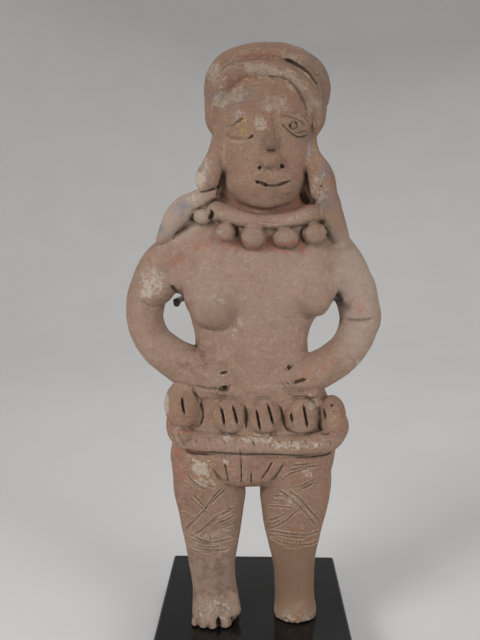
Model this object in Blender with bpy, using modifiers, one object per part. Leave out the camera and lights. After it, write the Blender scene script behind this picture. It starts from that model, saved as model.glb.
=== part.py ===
"""Builds a flat pottery figure on its display stand: the fired figure, the plate and two bent wires.

The plate and the wires are placed in metres. The figure is a free form, so its own places and sizes
are shares of its height, in thousandths: x to the viewer's right, y from front to back, z up from
the soles.
"""

import math

import bmesh
import bpy
import numpy as np
from mathutils import Matrix, Vector

MM = 0.001

# The plate, which stands on its underside at z = 0
PLATE_SIDE = 63.5 * MM
PLATE_THICKNESS = 12.0 * MM
PLATE_CHAMFER = 1.0 * MM

# The wires, set in blind holes in the plate, which go up behind the figure and forward under its arms
WIRE_DIAMETER = 2.0 * MM
WIRE_HOLE_DEPTH = 8.0 * MM
WIRE_TIP_RISE = 1.2 * MM
WIRE_TIP_REACH = 8.5 * MM
WIRE_BEND = 7.0 * MM
CLEARANCE = 0.3 * MM

# The figure
FIGURE_HEIGHT = 185.5 * MM
FIGURE_MIDDLE_Y = -6.0 * MM
SHARE = FIGURE_HEIGHT / 1000
BACK_SHARE = 46
VOXEL = 0.6 * MM
SMOOTH_STEPS = 3
FIGURE_TRIANGLES = 8700

# Where each wire stands in the plate, and the armpit that it reaches, in shares of the figure's height
WIRES = {
    "wire_hook_left": {"foot_x": -74, "armpit_x": -128, "armpit_z": 572},
    "wire_hook_right": {"foot_x": 76, "armpit_x": 141, "armpit_z": 574},
}

# Trunk and legs as stations: height, left edge, right edge, front, back
TRUNK = [
    (254, -138, 133, -46, 38), (266, -143, 136, -49, 40), (280, -146, 139, -51, 42),
    (304, -147, 143, -52, 43), (334, -140, 144, -52, 43), (363, -131, 143, -51, 43),
    (392, -121, 136, -49, 42), (421, -111, 123, -47, 41), (464, -101, 99, -45, 40),
    (507, -102, 92, -44, 40), (535, -106, 100, -45, 41), (555, -112, 115, -46, 41),
    (577, -122, 136, -46, 42), (622, -142, 152, -47, 42), (660, -154, 160, -46, 42),
    (682, -148, 156, -45, 40), (702, -120, 138, -43, 38), (720, -88, 112, -40, 36),
    (740, -66, 94, -34, 34),
]
NECK = [(700, -48, 82, -40, 38), (740, -36, 70, -36, 38), (790, -36, 72, -30, 38)]
BACK_OF_HAIR = [
    (690, -100, 126, 2, 38), (740, -90, 120, 6, 38), (790, -78, 108, 8, 40), (850, -66, 98, 2, 42),
    (900, -64, 100, -4, 42), (950, -52, 88, -4, 40), (972, -30, 62, 0, 34),
]
HEAD = [
    (728, 0, 36, -46, 4), (734, -22, 56, -54, 16), (743, -34, 67, -60, 26), (758, -46, 76, -63, 34),
    (774, -50, 84, -64, 38), (798, -51, 87, -62, 42), (841, -53, 92, -60, 44), (885, -54, 93, -58, 44),
    (928, -50, 86, -52, 42), (955, -36, 70, -42, 36), (972, -14, 48, -26, 26),
]
LEG_LEFT = [
    (-14, -109, -26, -42, 34), (16, -110, -26, -37, 34), (46, -110, -31, -34, 34),
    (77, -114, -33, -35, 35), (108, -119, -31, -38, 36), (139, -124, -26, -41, 37),
    (169, -130, -22, -44, 38), (200, -134, -17, -47, 39), (232, -141, -14, -49, 40),
    (262, -143, -22, -49, 40), (282, -136, -40, -40, 34),
]
LEG_RIGHT = [
    (-14, 42, 113, -34, 34), (16, 42, 113, -35, 34), (46, 40, 110, -34, 34), (77, 38, 110, -35, 35),
    (108, 33, 112, -38, 36), (139, 27, 117, -41, 37), (169, 20, 124, -44, 38), (200, 15, 130, -47, 39),
    (232, 12, 136, -49, 40), (262, 16, 138, -49, 40), (282, 34, 130, -40, 34),
]

# Rolled clay, laid on: places along each roll as x, y, z and the roll's radius
TURBAN_ROLL = [
    (-70, -8, 880, 9), (-72, -8, 903, 10), (-71, -9, 923, 11), (-66, -10, 942, 13),
    (-54, -11, 957, 15.5), (-35, -12, 968, 17.5), (-11, -12, 973, 19), (17, -12, 976, 19.5),
    (45, -12, 975, 19.5), (69, -12, 968, 19), (90, -11, 956, 17.5), (106, -10, 940, 14),
    (113, -9, 922, 11), (113, -8, 902, 9),
]
TURBAN_BAND = [
    (-66, -36, 894, 11), (-57, -40, 915, 13), (-42, -42, 932, 14), (-23, -44, 944, 14.5),
    (1, -45, 947, 14.5), (25, -45, 947, 14.5), (48, -44, 942, 14.5), (72, -42, 928, 14.5),
    (91, -38, 909, 13.5), (102, -34, 888, 12.5), (103, -32, 868, 11), (97, -32, 850, 8),
]
HAIR_LEFT = [(-60, -24, 868, 11), (-60, -26, 841, 11.5), (-63, -28, 817, 13), (-67, -30, 799, 17)]
HAIR_RIGHT = [
    (90, -24, 855, 9), (89, -26, 835, 11), (91, -28, 817, 13), (98, -31, 799, 16), (106, -32, 786, 18),
]
LOCK_LEFT_INNER = [(-60, -40, 757, 12), (-82, -40, 750, 20), (-100, -38, 743, 20)]
LOCK_LEFT = [
    (-98, -32, 740, 16), (-114, -34, 725, 20), (-129, -34, 710, 19), (-143, -32, 692, 14),
    (-153, -30, 678, 8),
]
LOCK_RIGHT = [
    (117, -34, 756, 19), (126, -36, 729, 18.5), (133, -36, 710, 16), (137, -36, 690, 12),
    (136, -36, 676, 6),
]
NECKLACE = [
    (-76, -26, 729, 10), (-63, -38, 723, 12), (-48, -44, 718, 12.5), (-29, -46, 713, 12),
    (-6, -47, 709, 11.5), (19, -47, 707, 11.5), (48, -47, 708, 12), (74, -45, 713, 12.5),
    (93, -42, 720, 12.5), (108, -30, 726, 10),
]
ARM_LEFT = [
    (-128, -6, 668, 28), (-156, -6, 642, 31), (-174, -7, 610, 33), (-184, -8, 578, 33),
    (-188, -9, 549, 31.5), (-184, -10, 527, 31), (-173, -12, 505, 31), (-153, -16, 486, 32),
    (-132, -21, 470, 32), (-109, -27, 458, 32),
]
ARM_RIGHT = [
    (134, -6, 668, 28), (152, -6, 642, 31), (166, -7, 610, 33), (178, -8, 578, 32),
    (185, -9, 549, 31.5), (182, -10, 530, 30.5), (173, -12, 508, 30.5), (156, -15, 487, 31),
    (132, -21, 469, 31.5), (108, -27, 457, 31),
]
HAND_LEFT = [(-112, -28, 458, 31), (-84, -34, 450, 30), (-60, -37, 448, 26), (-42, -38, 449, 18)]
HAND_RIGHT = [(110, -28, 458, 30), (85, -34, 449, 28), (66, -37, 447, 24), (52, -38, 448, 18)]
BELT_ROPE = [
    (-135, 6, 376, 16), (-140, -14, 370, 17), (-134, -34, 360, 19), (-120, -44, 349, 19),
    (-102, -47, 342, 19.5), (-76, -48, 339, 19.5), (-42, -48, 338, 19.5), (-4, -49, 337, 20),
    (44, -49, 337, 19.5), (80, -48, 337, 19.5), (110, -46, 339, 19), (130, -42, 346, 19),
    (143, -28, 357, 18), (146, -8, 366, 17), (140, 8, 374, 16),
]
BELT_BACK = [
    (-135, 6, 376, 16), (-112, 26, 378, 15), (-40, 30, 380, 14), (44, 30, 380, 14), (114, 26, 378, 15),
    (140, 8, 374, 16),
]
NOSE_RIDGE = [(24, -56, 892, 5), (25, -60, 862, 8), (25, -62, 834, 11), (25, -63, 812, 14)]

# Mounds of clay: centre x, y, z and half sizes x, y, z
BEADS = [
    (-82, -40, 717, 13, 16, 13), (-45, -50, 690, 15.5, 15, 16), (-2, -51, 682, 19.5, 17, 18.5),
    (53, -51, 681, 21, 17, 15.5), (98, -48, 689, 17, 16, 17),
]
OVALS = [
    (-109, -46, 404, 24, 20, 38), (-41, -48, 386, 28, 19, 31), (18, -49, 385, 29, 19, 33),
    (82, -48, 389, 28, 19, 31), (124, -40, 388, 16, 22, 29), (-137, -24, 400, 15, 28, 36),
    (142, -24, 382, 17, 28, 35),
]
BREASTS = [(-69, -34, 584, 44, 21, 46), (106, -34, 588, 38, 20, 40)]
SHOULDER_LOBE = [(-166, -14, 610, 40, 32, 33)]
ARMPITS = [(-142, -6, 596, 34, 34, 20), (150, -6, 600, 30, 34, 20)]
HAIR_LOBES = [
    (-76, -34, 781, 24, 25, 23), (112, -34, 767, 24, 25, 26),
    (-67, -16, 880, 14, 30, 28), (104, -18, 880, 15, 30, 34),
]
NOSE_TIP = [(25, -63, 801, 22, 14, 13)]
TAB = [(-11, -44, 309, 58, 18, 45)]
FOOT_LEFT = [(-66, -24, 6, 45, 36, 34), (-66, -8, 14, 42, 38, 36)]
FOOT_RIGHT = [(77, -10, 6, 38, 32, 34)]
TOES = [
    (-100, -48, 7, 9, 16, 11), (-85, -51, 8, 9, 17, 12), (-68, -52, 9, 10, 18, 13),
    (-50, -52, 9, 10, 18, 14), (-30, -50, 14, 12, 18, 17),
]

# Lines cut in the wet clay, as places x, z
TURBAN_CREASE = [
    (-62, 940), (-46, 949), (-23, 958), (1, 961), (24, 962), (48, 957), (71, 947), (90, 931), (103, 919),
]
MOUTH = [(-7, 770), (6, 769), (19, 767), (33, 765), (49, 767), (58, 770)]
EYE_LINES = [
    [(-41, 857), (-29, 863), (-18, 867)],
    [(-14, 837), (1, 845)],
    [(39, 861), (48, 851), (56, 843), (67, 840), (80, 841), (87, 844)],
    [(40, 868), (51, 871), (67, 867), (80, 857), (87, 847)],
]
HAIR_CREASES = [[(-104, 724), (-79, 733), (-60, 741)], [(-91, 756), (-70, 763), (-52, 768)]]
BELT_SLOTS = [
    [(-117, 426), (-118, 410), (-115, 394)],
    [(-53, 408), (-47, 371)],
    [(-34, 409), (-26, 371)],
    [(4, 402), (12, 365)],
    [(24, 411), (33, 372)],
    [(62, 397), (66, 376)],
    [(82, 411), (88, 370)],
    [(114, 412), (119, 385)],
]
ROPE_NICKS = [[(x, 346), (x - 5, 326)] for x in (-71, -37, 28, 66, 111)]
TAB_LINES = [
    [(-46, 299), (-41, 270)],
    [(-19, 308), (-17, 268)],
    [(0, 291), (-2, 268)],
    [(33, 303), (15, 273)],
]

# How deep and how wide each kind of line is cut, as depth, half width and the lines
CUTS = [
    (7, 4, [TURBAN_CREASE]),
    (5, 4, [MOUTH]),
    (5, 3.5, EYE_LINES),
    (5, 4, HAIR_CREASES),
    (9, 4.5, BELT_SLOTS),
    (5, 4, ROPE_NICKS),
    (5, 3, TAB_LINES),
]

# Pits pressed with a point, as x, z, radius and depth
PITS = [
    (-19, 848, 5, 7), (61, 857, 6, 8), (127, 409, 6, 10), (-50, 430, 6, 9), (59, 470, 5, 8),
    (-50, 459, 6, 8), (74, 445, 7, 9),
]


def place(x, y, z):
    """A place on the figure, in metres, from shares of its height."""
    soles = PLATE_THICKNESS + CLEARANCE
    return Vector((x * SHARE, FIGURE_MIDDLE_Y + y * SHARE, soles + z * SHARE))


def new_material(name, colour, roughness, metallic=0.0):
    """A plain Principled material."""
    material = bpy.data.materials.new(name)
    material.use_nodes = True
    shader = material.node_tree.nodes["Principled BSDF"]
    shader.inputs["Base Color"].default_value = (*colour, 1.0)
    shader.inputs["Roughness"].default_value = roughness
    shader.inputs["Metallic"].default_value = metallic
    material.diffuse_color = (*colour, 1.0)
    return material


def new_object(name, data, collection, material=None):
    """Adds an object with its material to a collection."""
    obj = bpy.data.objects.new(name, data)
    if material:
        data.materials.append(material)
    collection.objects.link(obj)
    return obj


def mesh_of(obj):
    """The object's mesh as the viewport evaluates it, in world places, and the object removed."""
    bpy.context.view_layer.update()
    evaluated = obj.evaluated_get(bpy.context.evaluated_depsgraph_get())
    mesh = bpy.data.meshes.new_from_object(evaluated)
    mesh.transform(obj.matrix_world)
    bpy.data.objects.remove(obj)
    return mesh


def add_mounds(bm, mounds):
    """Adds an ellipsoid of clay for each mound."""
    for x, y, z, half_x, half_y, half_z in mounds:
        size = Vector((half_x, half_y, half_z)) * SHARE
        ball = bmesh.new()
        matrix = Matrix.LocRotScale(place(x, y, z), None, size)
        bmesh.ops.create_uvsphere(ball, u_segments=24, v_segments=14, radius=1.0, matrix=matrix)
        mound = bpy.data.meshes.new("mound")
        ball.to_mesh(mound)
        ball.free()
        bm.from_mesh(mound)
        bpy.data.meshes.remove(mound)


def add_roll(bm, points, depth_factor=1.0):
    """Adds a roll of clay through the points, with round ends, drawn out in depth by the factor."""
    middle = sum(p[1] for p in points) / len(points)
    curve = bpy.data.curves.new("roll", "CURVE")
    curve.dimensions = "3D"
    curve.bevel_depth = SHARE
    curve.bevel_resolution = 4
    curve.resolution_u = 5
    curve.use_fill_caps = True
    spline = curve.splines.new("BEZIER")
    spline.bezier_points.add(len(points) - 1)
    for knot, (x, y, z, radius) in zip(spline.bezier_points, points):
        knot.co = Vector((x, (y - middle) / depth_factor, z)) * SHARE
        knot.radius = radius
        knot.handle_left_type = "AUTO"
        knot.handle_right_type = "AUTO"
    roll = mesh_of(new_object("roll", curve, bpy.context.scene.collection))
    roll.transform(Matrix.LocRotScale(place(0, middle, 0), None, Vector((1, depth_factor, 1))))
    bm.from_mesh(roll)
    for x, y, z, radius in (points[0], points[-1]):
        add_mounds(bm, [(x, y, z, radius, radius * depth_factor, radius)])


def add_body(bm, stations, squareness=2.5, sides=40):
    """Adds a loft through level, rounded sections. Above 2, squareness makes them boxier than ellipses."""
    rings = []
    for z, left, right, front, back in stations:
        ring = []
        for k in range(sides):
            turn = 2 * math.pi * k / sides
            across = math.copysign(abs(math.cos(turn)) ** (2 / squareness), math.cos(turn))
            along = math.copysign(abs(math.sin(turn)) ** (2 / squareness), math.sin(turn))
            x = (left + right) / 2 + (right - left) / 2 * across
            y = (front + back) / 2 + (back - front) / 2 * along
            ring.append(bm.verts.new(place(x, y, z)))
        rings.append(ring)
    for low, high in zip(rings, rings[1:]):
        for k in range(sides):
            after = (k + 1) % sides
            bm.faces.new((low[k], low[after], high[after], high[k]))
    bm.faces.new(rings[0][::-1])
    bm.faces.new(rings[-1])


def distance_to_line(x, z, line):
    """Distance on the upright plane from each place to a line of several points."""
    nearest = np.full(len(x), 1e9)
    for (x0, z0), (x1, z1) in zip(line, line[1:]):
        run_x, run_z = x1 - x0, z1 - z0
        along = np.clip(((x - x0) * run_x + (z - z0) * run_z) / (run_x**2 + run_z**2), 0, 1)
        nearest = np.minimum(nearest, np.hypot(x - x0 - along * run_x, z - z0 - along * run_z))
    return nearest


def cut_lines(mesh):
    """Presses the lines and pits into the front of the clay."""
    count = len(mesh.vertices)
    places = np.empty(count * 3)
    facing = np.empty(count * 3)
    mesh.vertices.foreach_get("co", places)
    mesh.vertex_normals.foreach_get("vector", facing)
    places = places.reshape(-1, 3)
    front = np.clip(-facing.reshape(-1, 3)[:, 1] * 1.6, 0, 1)
    x = places[:, 0] / SHARE
    z = (places[:, 2] - place(0, 0, 0).z) / SHARE
    push = np.zeros(count)
    for depth, half_width, lines in CUTS:
        for line in lines:
            away = distance_to_line(x, z, line) / half_width
            push = np.maximum(push, depth * np.exp(-away * away))
    for pit_x, pit_z, radius, depth in PITS:
        away = np.hypot(x - pit_x, z - pit_z) / radius
        push = np.maximum(push, depth * np.exp(-away * away))
    places[:, 1] += push * front * SHARE
    mesh.vertices.foreach_set("co", places.ravel())
    mesh.update()


def keep_largest(bm):
    """Deletes every loose island but the one with the most faces."""
    left = set(bm.faces)
    islands = []
    while left:
        island = {left.pop()}
        edge_of_search = list(island)
        while edge_of_search:
            face = edge_of_search.pop()
            for edge in face.edges:
                for neighbour in edge.link_faces:
                    if neighbour in left:
                        left.remove(neighbour)
                        island.add(neighbour)
                        edge_of_search.append(neighbour)
        islands.append(island)
    islands.sort(key=len)
    for island in islands[:-1]:
        bmesh.ops.delete(bm, geom=list(island), context="FACES")


def flatten_soles(bm):
    """Cuts the clay off level at the soles and closes the cut."""
    sole = place(0, 0, 0)
    geometry = bm.verts[:] + bm.edges[:] + bm.faces[:]
    bmesh.ops.bisect_plane(bm, geom=geometry, plane_co=sole, plane_no=(0, 0, -1), clear_outer=True)
    rim = [edge for edge in bm.edges if edge.is_boundary]
    bmesh.ops.holes_fill(bm, edges=rim, sides=0)
    bmesh.ops.triangulate(bm, faces=[face for face in bm.faces if len(face.verts) > 4])


def model_clay(bm):
    """Puts the figure's forms together, as the potter did: trunk and legs, then what is laid on."""
    for stations in (TRUNK, NECK, BACK_OF_HAIR, LEG_LEFT, LEG_RIGHT):
        add_body(bm, stations, squareness=2.7)
    add_body(bm, HEAD, squareness=2.3)
    add_roll(bm, TURBAN_ROLL, depth_factor=1.8)
    add_roll(bm, TURBAN_BAND, depth_factor=1.2)
    for roll in (HAIR_LEFT, HAIR_RIGHT, LOCK_LEFT_INNER, LOCK_LEFT, LOCK_RIGHT, NECKLACE, NOSE_RIDGE):
        add_roll(bm, roll)
    for roll in (ARM_LEFT, ARM_RIGHT, BELT_ROPE, BELT_BACK):
        add_roll(bm, roll)
    for roll in (HAND_LEFT, HAND_RIGHT):
        add_roll(bm, roll, depth_factor=0.85)
    for mounds in (HAIR_LOBES, NOSE_TIP, BEADS, BREASTS, SHOULDER_LOBE, ARMPITS, OVALS, TAB):
        add_mounds(bm, mounds)
    for mounds in (FOOT_LEFT, FOOT_RIGHT, TOES):
        add_mounds(bm, mounds)


def add_modifier(obj, kind, **settings):
    """Adds a modifier with its settings."""
    modifier = obj.modifiers.new(kind.lower(), kind)
    for name, value in settings.items():
        setattr(modifier, name, value)
    return modifier


def wire_route(foot_x, armpit_x, armpit_z):
    """Places along a wire: up from its hole, out behind the trunk, forward under the arm to its tip."""
    behind = FIGURE_MIDDLE_Y + BACK_SHARE * SHARE + CLEARANCE + WIRE_DIAMETER / 2
    foot_z = PLATE_THICKNESS - WIRE_HOLE_DEPTH + CLEARANCE
    armpit = place(armpit_x, 0, armpit_z)
    start_x = foot_x * SHARE
    front_y = armpit.y - WIRE_TIP_REACH
    turn_x = start_x + 0.4 * (armpit.x - start_x)
    knots = [
        Vector((start_x, behind, foot_z)),
        Vector((start_x, behind, PLATE_THICKNESS + WIRE_BEND)),
        Vector((start_x, behind, armpit.z - 2 * WIRE_BEND)),
        Vector((start_x, behind, armpit.z - 0.8 * WIRE_BEND)),
        Vector((turn_x, behind, armpit.z - 0.15 * WIRE_BEND)),
        Vector((armpit.x, behind - 0.5 * WIRE_BEND, armpit.z)),
        Vector((armpit.x, front_y, armpit.z)),
        Vector((armpit.x, front_y - WIRE_TIP_RISE, armpit.z + WIRE_TIP_RISE)),
    ]
    return knots


def smooth_route(knots, steps=4):
    """Reads points from a smooth curve through the knots."""
    padded = [knots[0], *knots, knots[-1]]
    points = []
    for before, start, end, after in zip(padded, padded[1:], padded[2:], padded[3:]):
        if points and start == end:
            continue
        pull = (end - start).length / max((end - before).length, 1e-9)
        tangent_start = (end - before) * pull
        pull = (end - start).length / max((after - start).length, 1e-9)
        tangent_end = (after - start) * pull
        for k in range(steps):
            t = k / steps
            points.append(
                start * (2 * t**3 - 3 * t**2 + 1)
                + tangent_start * (t**3 - 2 * t**2 + t)
                + end * (3 * t**2 - 2 * t**3)
                + tangent_end * (t**3 - t**2)
            )
    points.append(knots[-1])
    return points


def wire_curve(name, points, radius):
    """A round wire through the points."""
    curve = bpy.data.curves.new(name, "CURVE")
    curve.dimensions = "3D"
    curve.bevel_depth = radius
    curve.bevel_resolution = 2
    curve.use_fill_caps = True
    spline = curve.splines.new("POLY")
    spline.points.add(len(points) - 1)
    for knot, point in zip(spline.points, points):
        knot.co = (*point, 1.0)
    return curve


def make_cutter(name, points, radius, cutters):
    """A closed tube that takes clay away around a wire."""
    curve = wire_curve(name, points, radius)
    mesh = mesh_of(new_object(name, curve, cutters))
    bm = bmesh.new()
    bm.from_mesh(mesh)
    bmesh.ops.remove_doubles(bm, verts=bm.verts, dist=0.001 * MM)
    bm.to_mesh(mesh)
    bm.free()
    cutter = new_object(name, mesh, cutters)
    cutter.hide_render = True
    cutter.display_type = "WIRE"
    return cutter


def make_figure(collection, cutters, routes):
    """The fired figure: clay forms made one skin, lines cut in, soles flat, with room for the wires."""
    bm = bmesh.new()
    model_clay(bm)
    mesh = bpy.data.meshes.new("clay")
    bm.to_mesh(mesh)
    bm.free()
    clay = new_object("clay", mesh, bpy.context.scene.collection)
    add_modifier(clay, "REMESH", mode="VOXEL", voxel_size=VOXEL)
    add_modifier(clay, "SMOOTH", factor=0.5, iterations=SMOOTH_STEPS)
    mesh = mesh_of(clay)
    cut_lines(mesh)
    bm = bmesh.new()
    bm.from_mesh(mesh)
    keep_largest(bm)
    flatten_soles(bm)
    bm.to_mesh(mesh)
    faces = sum(len(face.verts) - 2 for face in bm.faces)
    bm.free()
    rough = new_object("rough", mesh, bpy.context.scene.collection)
    add_modifier(rough, "DECIMATE", ratio=FIGURE_TRIANGLES / faces)
    material = new_material("fired_clay", (0.34, 0.20, 0.145), 0.86)
    figure = new_object("figure", mesh_of(rough), collection, material)
    for name, route in routes.items():
        cutter = make_cutter(name + "_room", route, WIRE_DIAMETER / 2 + CLEARANCE, cutters)
        add_modifier(figure, "BOOLEAN", operation="DIFFERENCE", object=cutter, solver="EXACT")
    figure.data.shade_smooth()
    return figure


def make_plate(collection, cutters):
    """The square plate, with a small chamfer and a blind hole for each wire."""
    mesh = bpy.data.meshes.new("base_plate")
    bm = bmesh.new()
    size = (PLATE_SIDE, PLATE_SIDE, PLATE_THICKNESS)
    middle = Vector((0, 0, PLATE_THICKNESS / 2))
    bmesh.ops.create_cube(bm, size=1.0, matrix=Matrix.LocRotScale(middle, None, Vector(size)))
    bm.to_mesh(mesh)
    bm.free()
    black_gloss = new_material("black_gloss", (0.006, 0.006, 0.007), 0.12)
    plate = new_object("base_plate", mesh, collection, black_gloss)
    add_modifier(plate, "BEVEL", width=PLATE_CHAMFER, segments=3, limit_method="ANGLE")
    for name, place_of_wire in WIRES.items():
        radius = WIRE_DIAMETER / 2 + CLEARANCE
        depth = WIRE_HOLE_DEPTH + PLATE_CHAMFER
        route = wire_route(**place_of_wire)
        hole_mesh = bpy.data.meshes.new(name + "_hole")
        bm = bmesh.new()
        centre = Vector((route[0].x, route[0].y, PLATE_THICKNESS - WIRE_HOLE_DEPTH + depth / 2))
        bmesh.ops.create_cone(
            bm, cap_ends=True, segments=20, radius1=radius, radius2=radius, depth=depth,
            matrix=Matrix.Translation(centre),
        )
        bm.to_mesh(hole_mesh)
        bm.free()
        hole = new_object(name + "_hole", hole_mesh, cutters)
        hole.hide_render = True
        hole.display_type = "WIRE"
        add_modifier(plate, "BOOLEAN", operation="DIFFERENCE", object=hole, solver="EXACT")
    plate.data.set_sharp_from_angle(angle=math.radians(40))
    return plate


def main():
    """Clears the scene and builds the part."""
    for obj in list(bpy.data.objects):
        bpy.data.objects.remove(obj)
    part = bpy.data.collections.new("pottery_figure_on_stand")
    cutters = bpy.data.collections.new("cutters")
    bpy.context.scene.collection.children.link(part)
    bpy.context.scene.collection.children.link(cutters)
    routes = {name: smooth_route(wire_route(**place_of_wire)) for name, place_of_wire in WIRES.items()}
    make_plate(part, cutters)
    steel = new_material("dark_steel", (0.16, 0.15, 0.14), 0.38, 1.0)
    for name, route in routes.items():
        wire = new_object(name, wire_curve(name, route, WIRE_DIAMETER / 2), part, steel)
        wire.data.name = name
    make_figure(part, cutters, routes)


main()
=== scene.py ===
"""Dresses the flat pottery figure and its display stand.

The figure's skin is worked out from laid-on clay forms: bodies, rolls and mounds are joined softly,
lines are cut in, and the surface is meshed finely where there is detail. Places on the figure are
shares of its height, in thousandths: x to the viewer's right, y from front to back, z up.
"""

import logging
import math
from dataclasses import dataclass, field
from enum import Enum

import bpy
import numpy as np
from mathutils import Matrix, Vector


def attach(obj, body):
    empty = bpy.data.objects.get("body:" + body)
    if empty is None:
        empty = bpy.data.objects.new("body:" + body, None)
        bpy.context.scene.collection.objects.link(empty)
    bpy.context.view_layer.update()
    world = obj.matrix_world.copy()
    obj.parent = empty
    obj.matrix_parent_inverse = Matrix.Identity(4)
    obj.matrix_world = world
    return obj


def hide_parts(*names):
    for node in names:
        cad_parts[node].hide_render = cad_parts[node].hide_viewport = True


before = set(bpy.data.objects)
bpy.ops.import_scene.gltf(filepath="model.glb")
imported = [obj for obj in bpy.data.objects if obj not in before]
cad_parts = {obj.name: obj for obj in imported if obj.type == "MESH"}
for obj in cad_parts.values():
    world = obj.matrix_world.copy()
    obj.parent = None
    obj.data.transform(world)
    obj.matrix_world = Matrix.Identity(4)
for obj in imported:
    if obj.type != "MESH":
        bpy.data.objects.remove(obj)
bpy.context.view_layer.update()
LOG = logging.getLogger("figure")

Array = np.ndarray
Place = tuple[float, float, float]
Colour = tuple[float, float, float]
Rows = tuple[tuple[float, ...], ...]
Line = tuple[tuple[float, float], ...]
Lines = tuple[Line, ...]

MM = 0.001
FIGURE_HEIGHT = 185.5 * MM
SHARE = FIGURE_HEIGHT / 1000
PLATE_TOP = 12.0 * MM
AIR_UNDER_SOLES = 0.3 * MM
SOLES = PLATE_TOP + AIR_UNDER_SOLES
MIDDLE_Y = -6.0 * MM

# The camera's place in shares, and the depth of the upright plane on which places are read.
VIEW_X, VIEW_Y, VIEW_Z = 4.0, -1115.0, 693.5
PLANE_Y = -45.0

# Lengths in shares: far from all clay, how far round a form counts, and no limit for an edge.
FAR = 60.0
NEAR = 14.0
NO_LIMIT = 99.0

# Marks lie in front of this depth and are at their full depth a little further forward.
FRONT_Y = -10.0
FRONT_FADE = 8.0

# The sides of a cut, in half widths: how far it is felt, and where its burr is and how wide.
CUT_REACH = 3.2
BURR_AT = 2.0
BURR_WIDTH = 0.8

# How thin a line gets at its ends, and the share of its depth at which crossing lines don't add up.
LEAST_TAPER = 0.3
CROSSING = 0.3

# How far a broken patch and a tint reach, in their half sizes.
PATCH_REACH = 1.3
TINT_REACH = 1.45

HUGE = 1e9
SMALL = 1e-6
TINY = 1e-9


class Lay(Enum):
    """How a form meets the clay that is already there."""

    ON = "joined on"
    OUT = "taken out"


def to_metres(places: Array) -> Array:
    """Turns places in shares of the height into metres.

    Args:
        places: rows of x, y, z in shares.

    Returns:
        The same rows in metres, in the frame of the model.
    """
    return places * SHARE + np.array([0.0, MIDDLE_Y, SOLES])


def from_view(*rows: tuple[float, ...]) -> Rows:
    """Turns places read on an upright plane, as the camera sees them, into true places at their depth.

    Args:
        rows: rows that start with x, y, z, with x and z read on the plane.

    Returns:
        The rows with true x and z.
    """
    out = []
    for x, y, z, *rest in rows:
        reach = (y - VIEW_Y) / (PLANE_Y - VIEW_Y)
        out.append((VIEW_X + (x - VIEW_X) * reach, y, VIEW_Z + (z - VIEW_Z) * reach, *rest))
    return tuple(out)


def seen(places: Array) -> tuple[Array, Array]:
    """Where on the upright plane the camera sees places, as x and z."""
    reach = (PLANE_Y - VIEW_Y) / (places[:, 1] - VIEW_Y)
    return VIEW_X + (places[:, 0] - VIEW_X) * reach, VIEW_Z + (places[:, 2] - VIEW_Z) * reach


def ring(x: float, z: float, radius: float) -> Line:
    """A closed round line."""
    sides = 12
    turns = [2 * math.pi * k / sides for k in range(sides + 1)]
    return tuple((x + radius * math.cos(a), z + radius * math.sin(a)) for a in turns)


def lattice(places: Array, size: float, seed: int) -> Array:
    """Soft seeded noise between -1 and 1.

    Args:
        places: rows of x, y, z.
        size: the distance between the noise's knots.
        seed: picks the noise.

    Returns:
        One value for each row.
    """
    cells = 24
    shift = 1000
    table = np.random.default_rng(seed).uniform(-1, 1, cells**3)
    spots = places / size + shift
    base = np.floor(spots).astype(int)
    part = spots - base
    part = part * part * (3 - 2 * part)
    total = np.zeros(len(places))
    for corner in range(8):
        step = np.array([corner & 1, corner >> 1 & 1, corner >> 2 & 1])
        weight = np.prod(np.where(step, part, 1 - part), axis=1)
        cell = (base + step) % cells
        total += weight * table[(cell[:, 0] * cells + cell[:, 1]) * cells + cell[:, 2]]
    return total


def smooth_rows(rows: Rows, steps: int) -> Array:
    """Reads rows from a smooth curve through the given rows.

    Args:
        rows: the rows that the curve goes through.
        steps: how many rows each stretch is read as.

    Returns:
        The rows along the curve, with the first and last as given.
    """
    knots = np.array(rows, float)
    padded = np.vstack([2 * knots[0] - knots[1], knots, 2 * knots[-1] - knots[-2]])
    out = []
    for before, start, end, after in zip(padded, padded[1:], padded[2:], padded[3:]):
        for k in range(steps):
            t = k / steps
            bend = 2 * start - 2 * end + (end - before) / 2 + (after - start) / 2
            lean = -3 * start + 3 * end - (end - before) - (after - start) / 2
            out.append(start + (end - before) / 2 * t + lean * t**2 + bend * t**3)
    out.append(knots[-1])
    return np.array(out)


def soft_least(a: Array, b: Array, blend: float) -> Array:
    """The smaller of two distances, rounded over where they are within the blend of each other."""
    if blend <= 0:
        return np.minimum(a, b)
    overlap = np.maximum(blend - np.abs(a - b), 0) / blend
    return np.minimum(a, b) - overlap**2 * blend / 4


def in_front(y: Array) -> Array:
    """How fully marks show at each depth, from 0 to 1."""
    return np.clip((FRONT_Y - y) / FRONT_FADE, 0, 1)


def line_distance(x: Array, z: Array, line: Array) -> Array:
    """Distance on the upright plane from each place to a line of several points."""
    nearest = np.full(len(x), HUGE)
    for (x0, z0), (x1, z1) in zip(line, line[1:]):
        run_x, run_z = x1 - x0, z1 - z0
        along = ((x - x0) * run_x + (z - z0) * run_z) / max(run_x**2 + run_z**2, TINY)
        along = np.clip(along, 0, 1)
        nearest = np.minimum(nearest, np.hypot(x - x0 - along * run_x, z - z0 - along * run_z))
    return nearest


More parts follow.
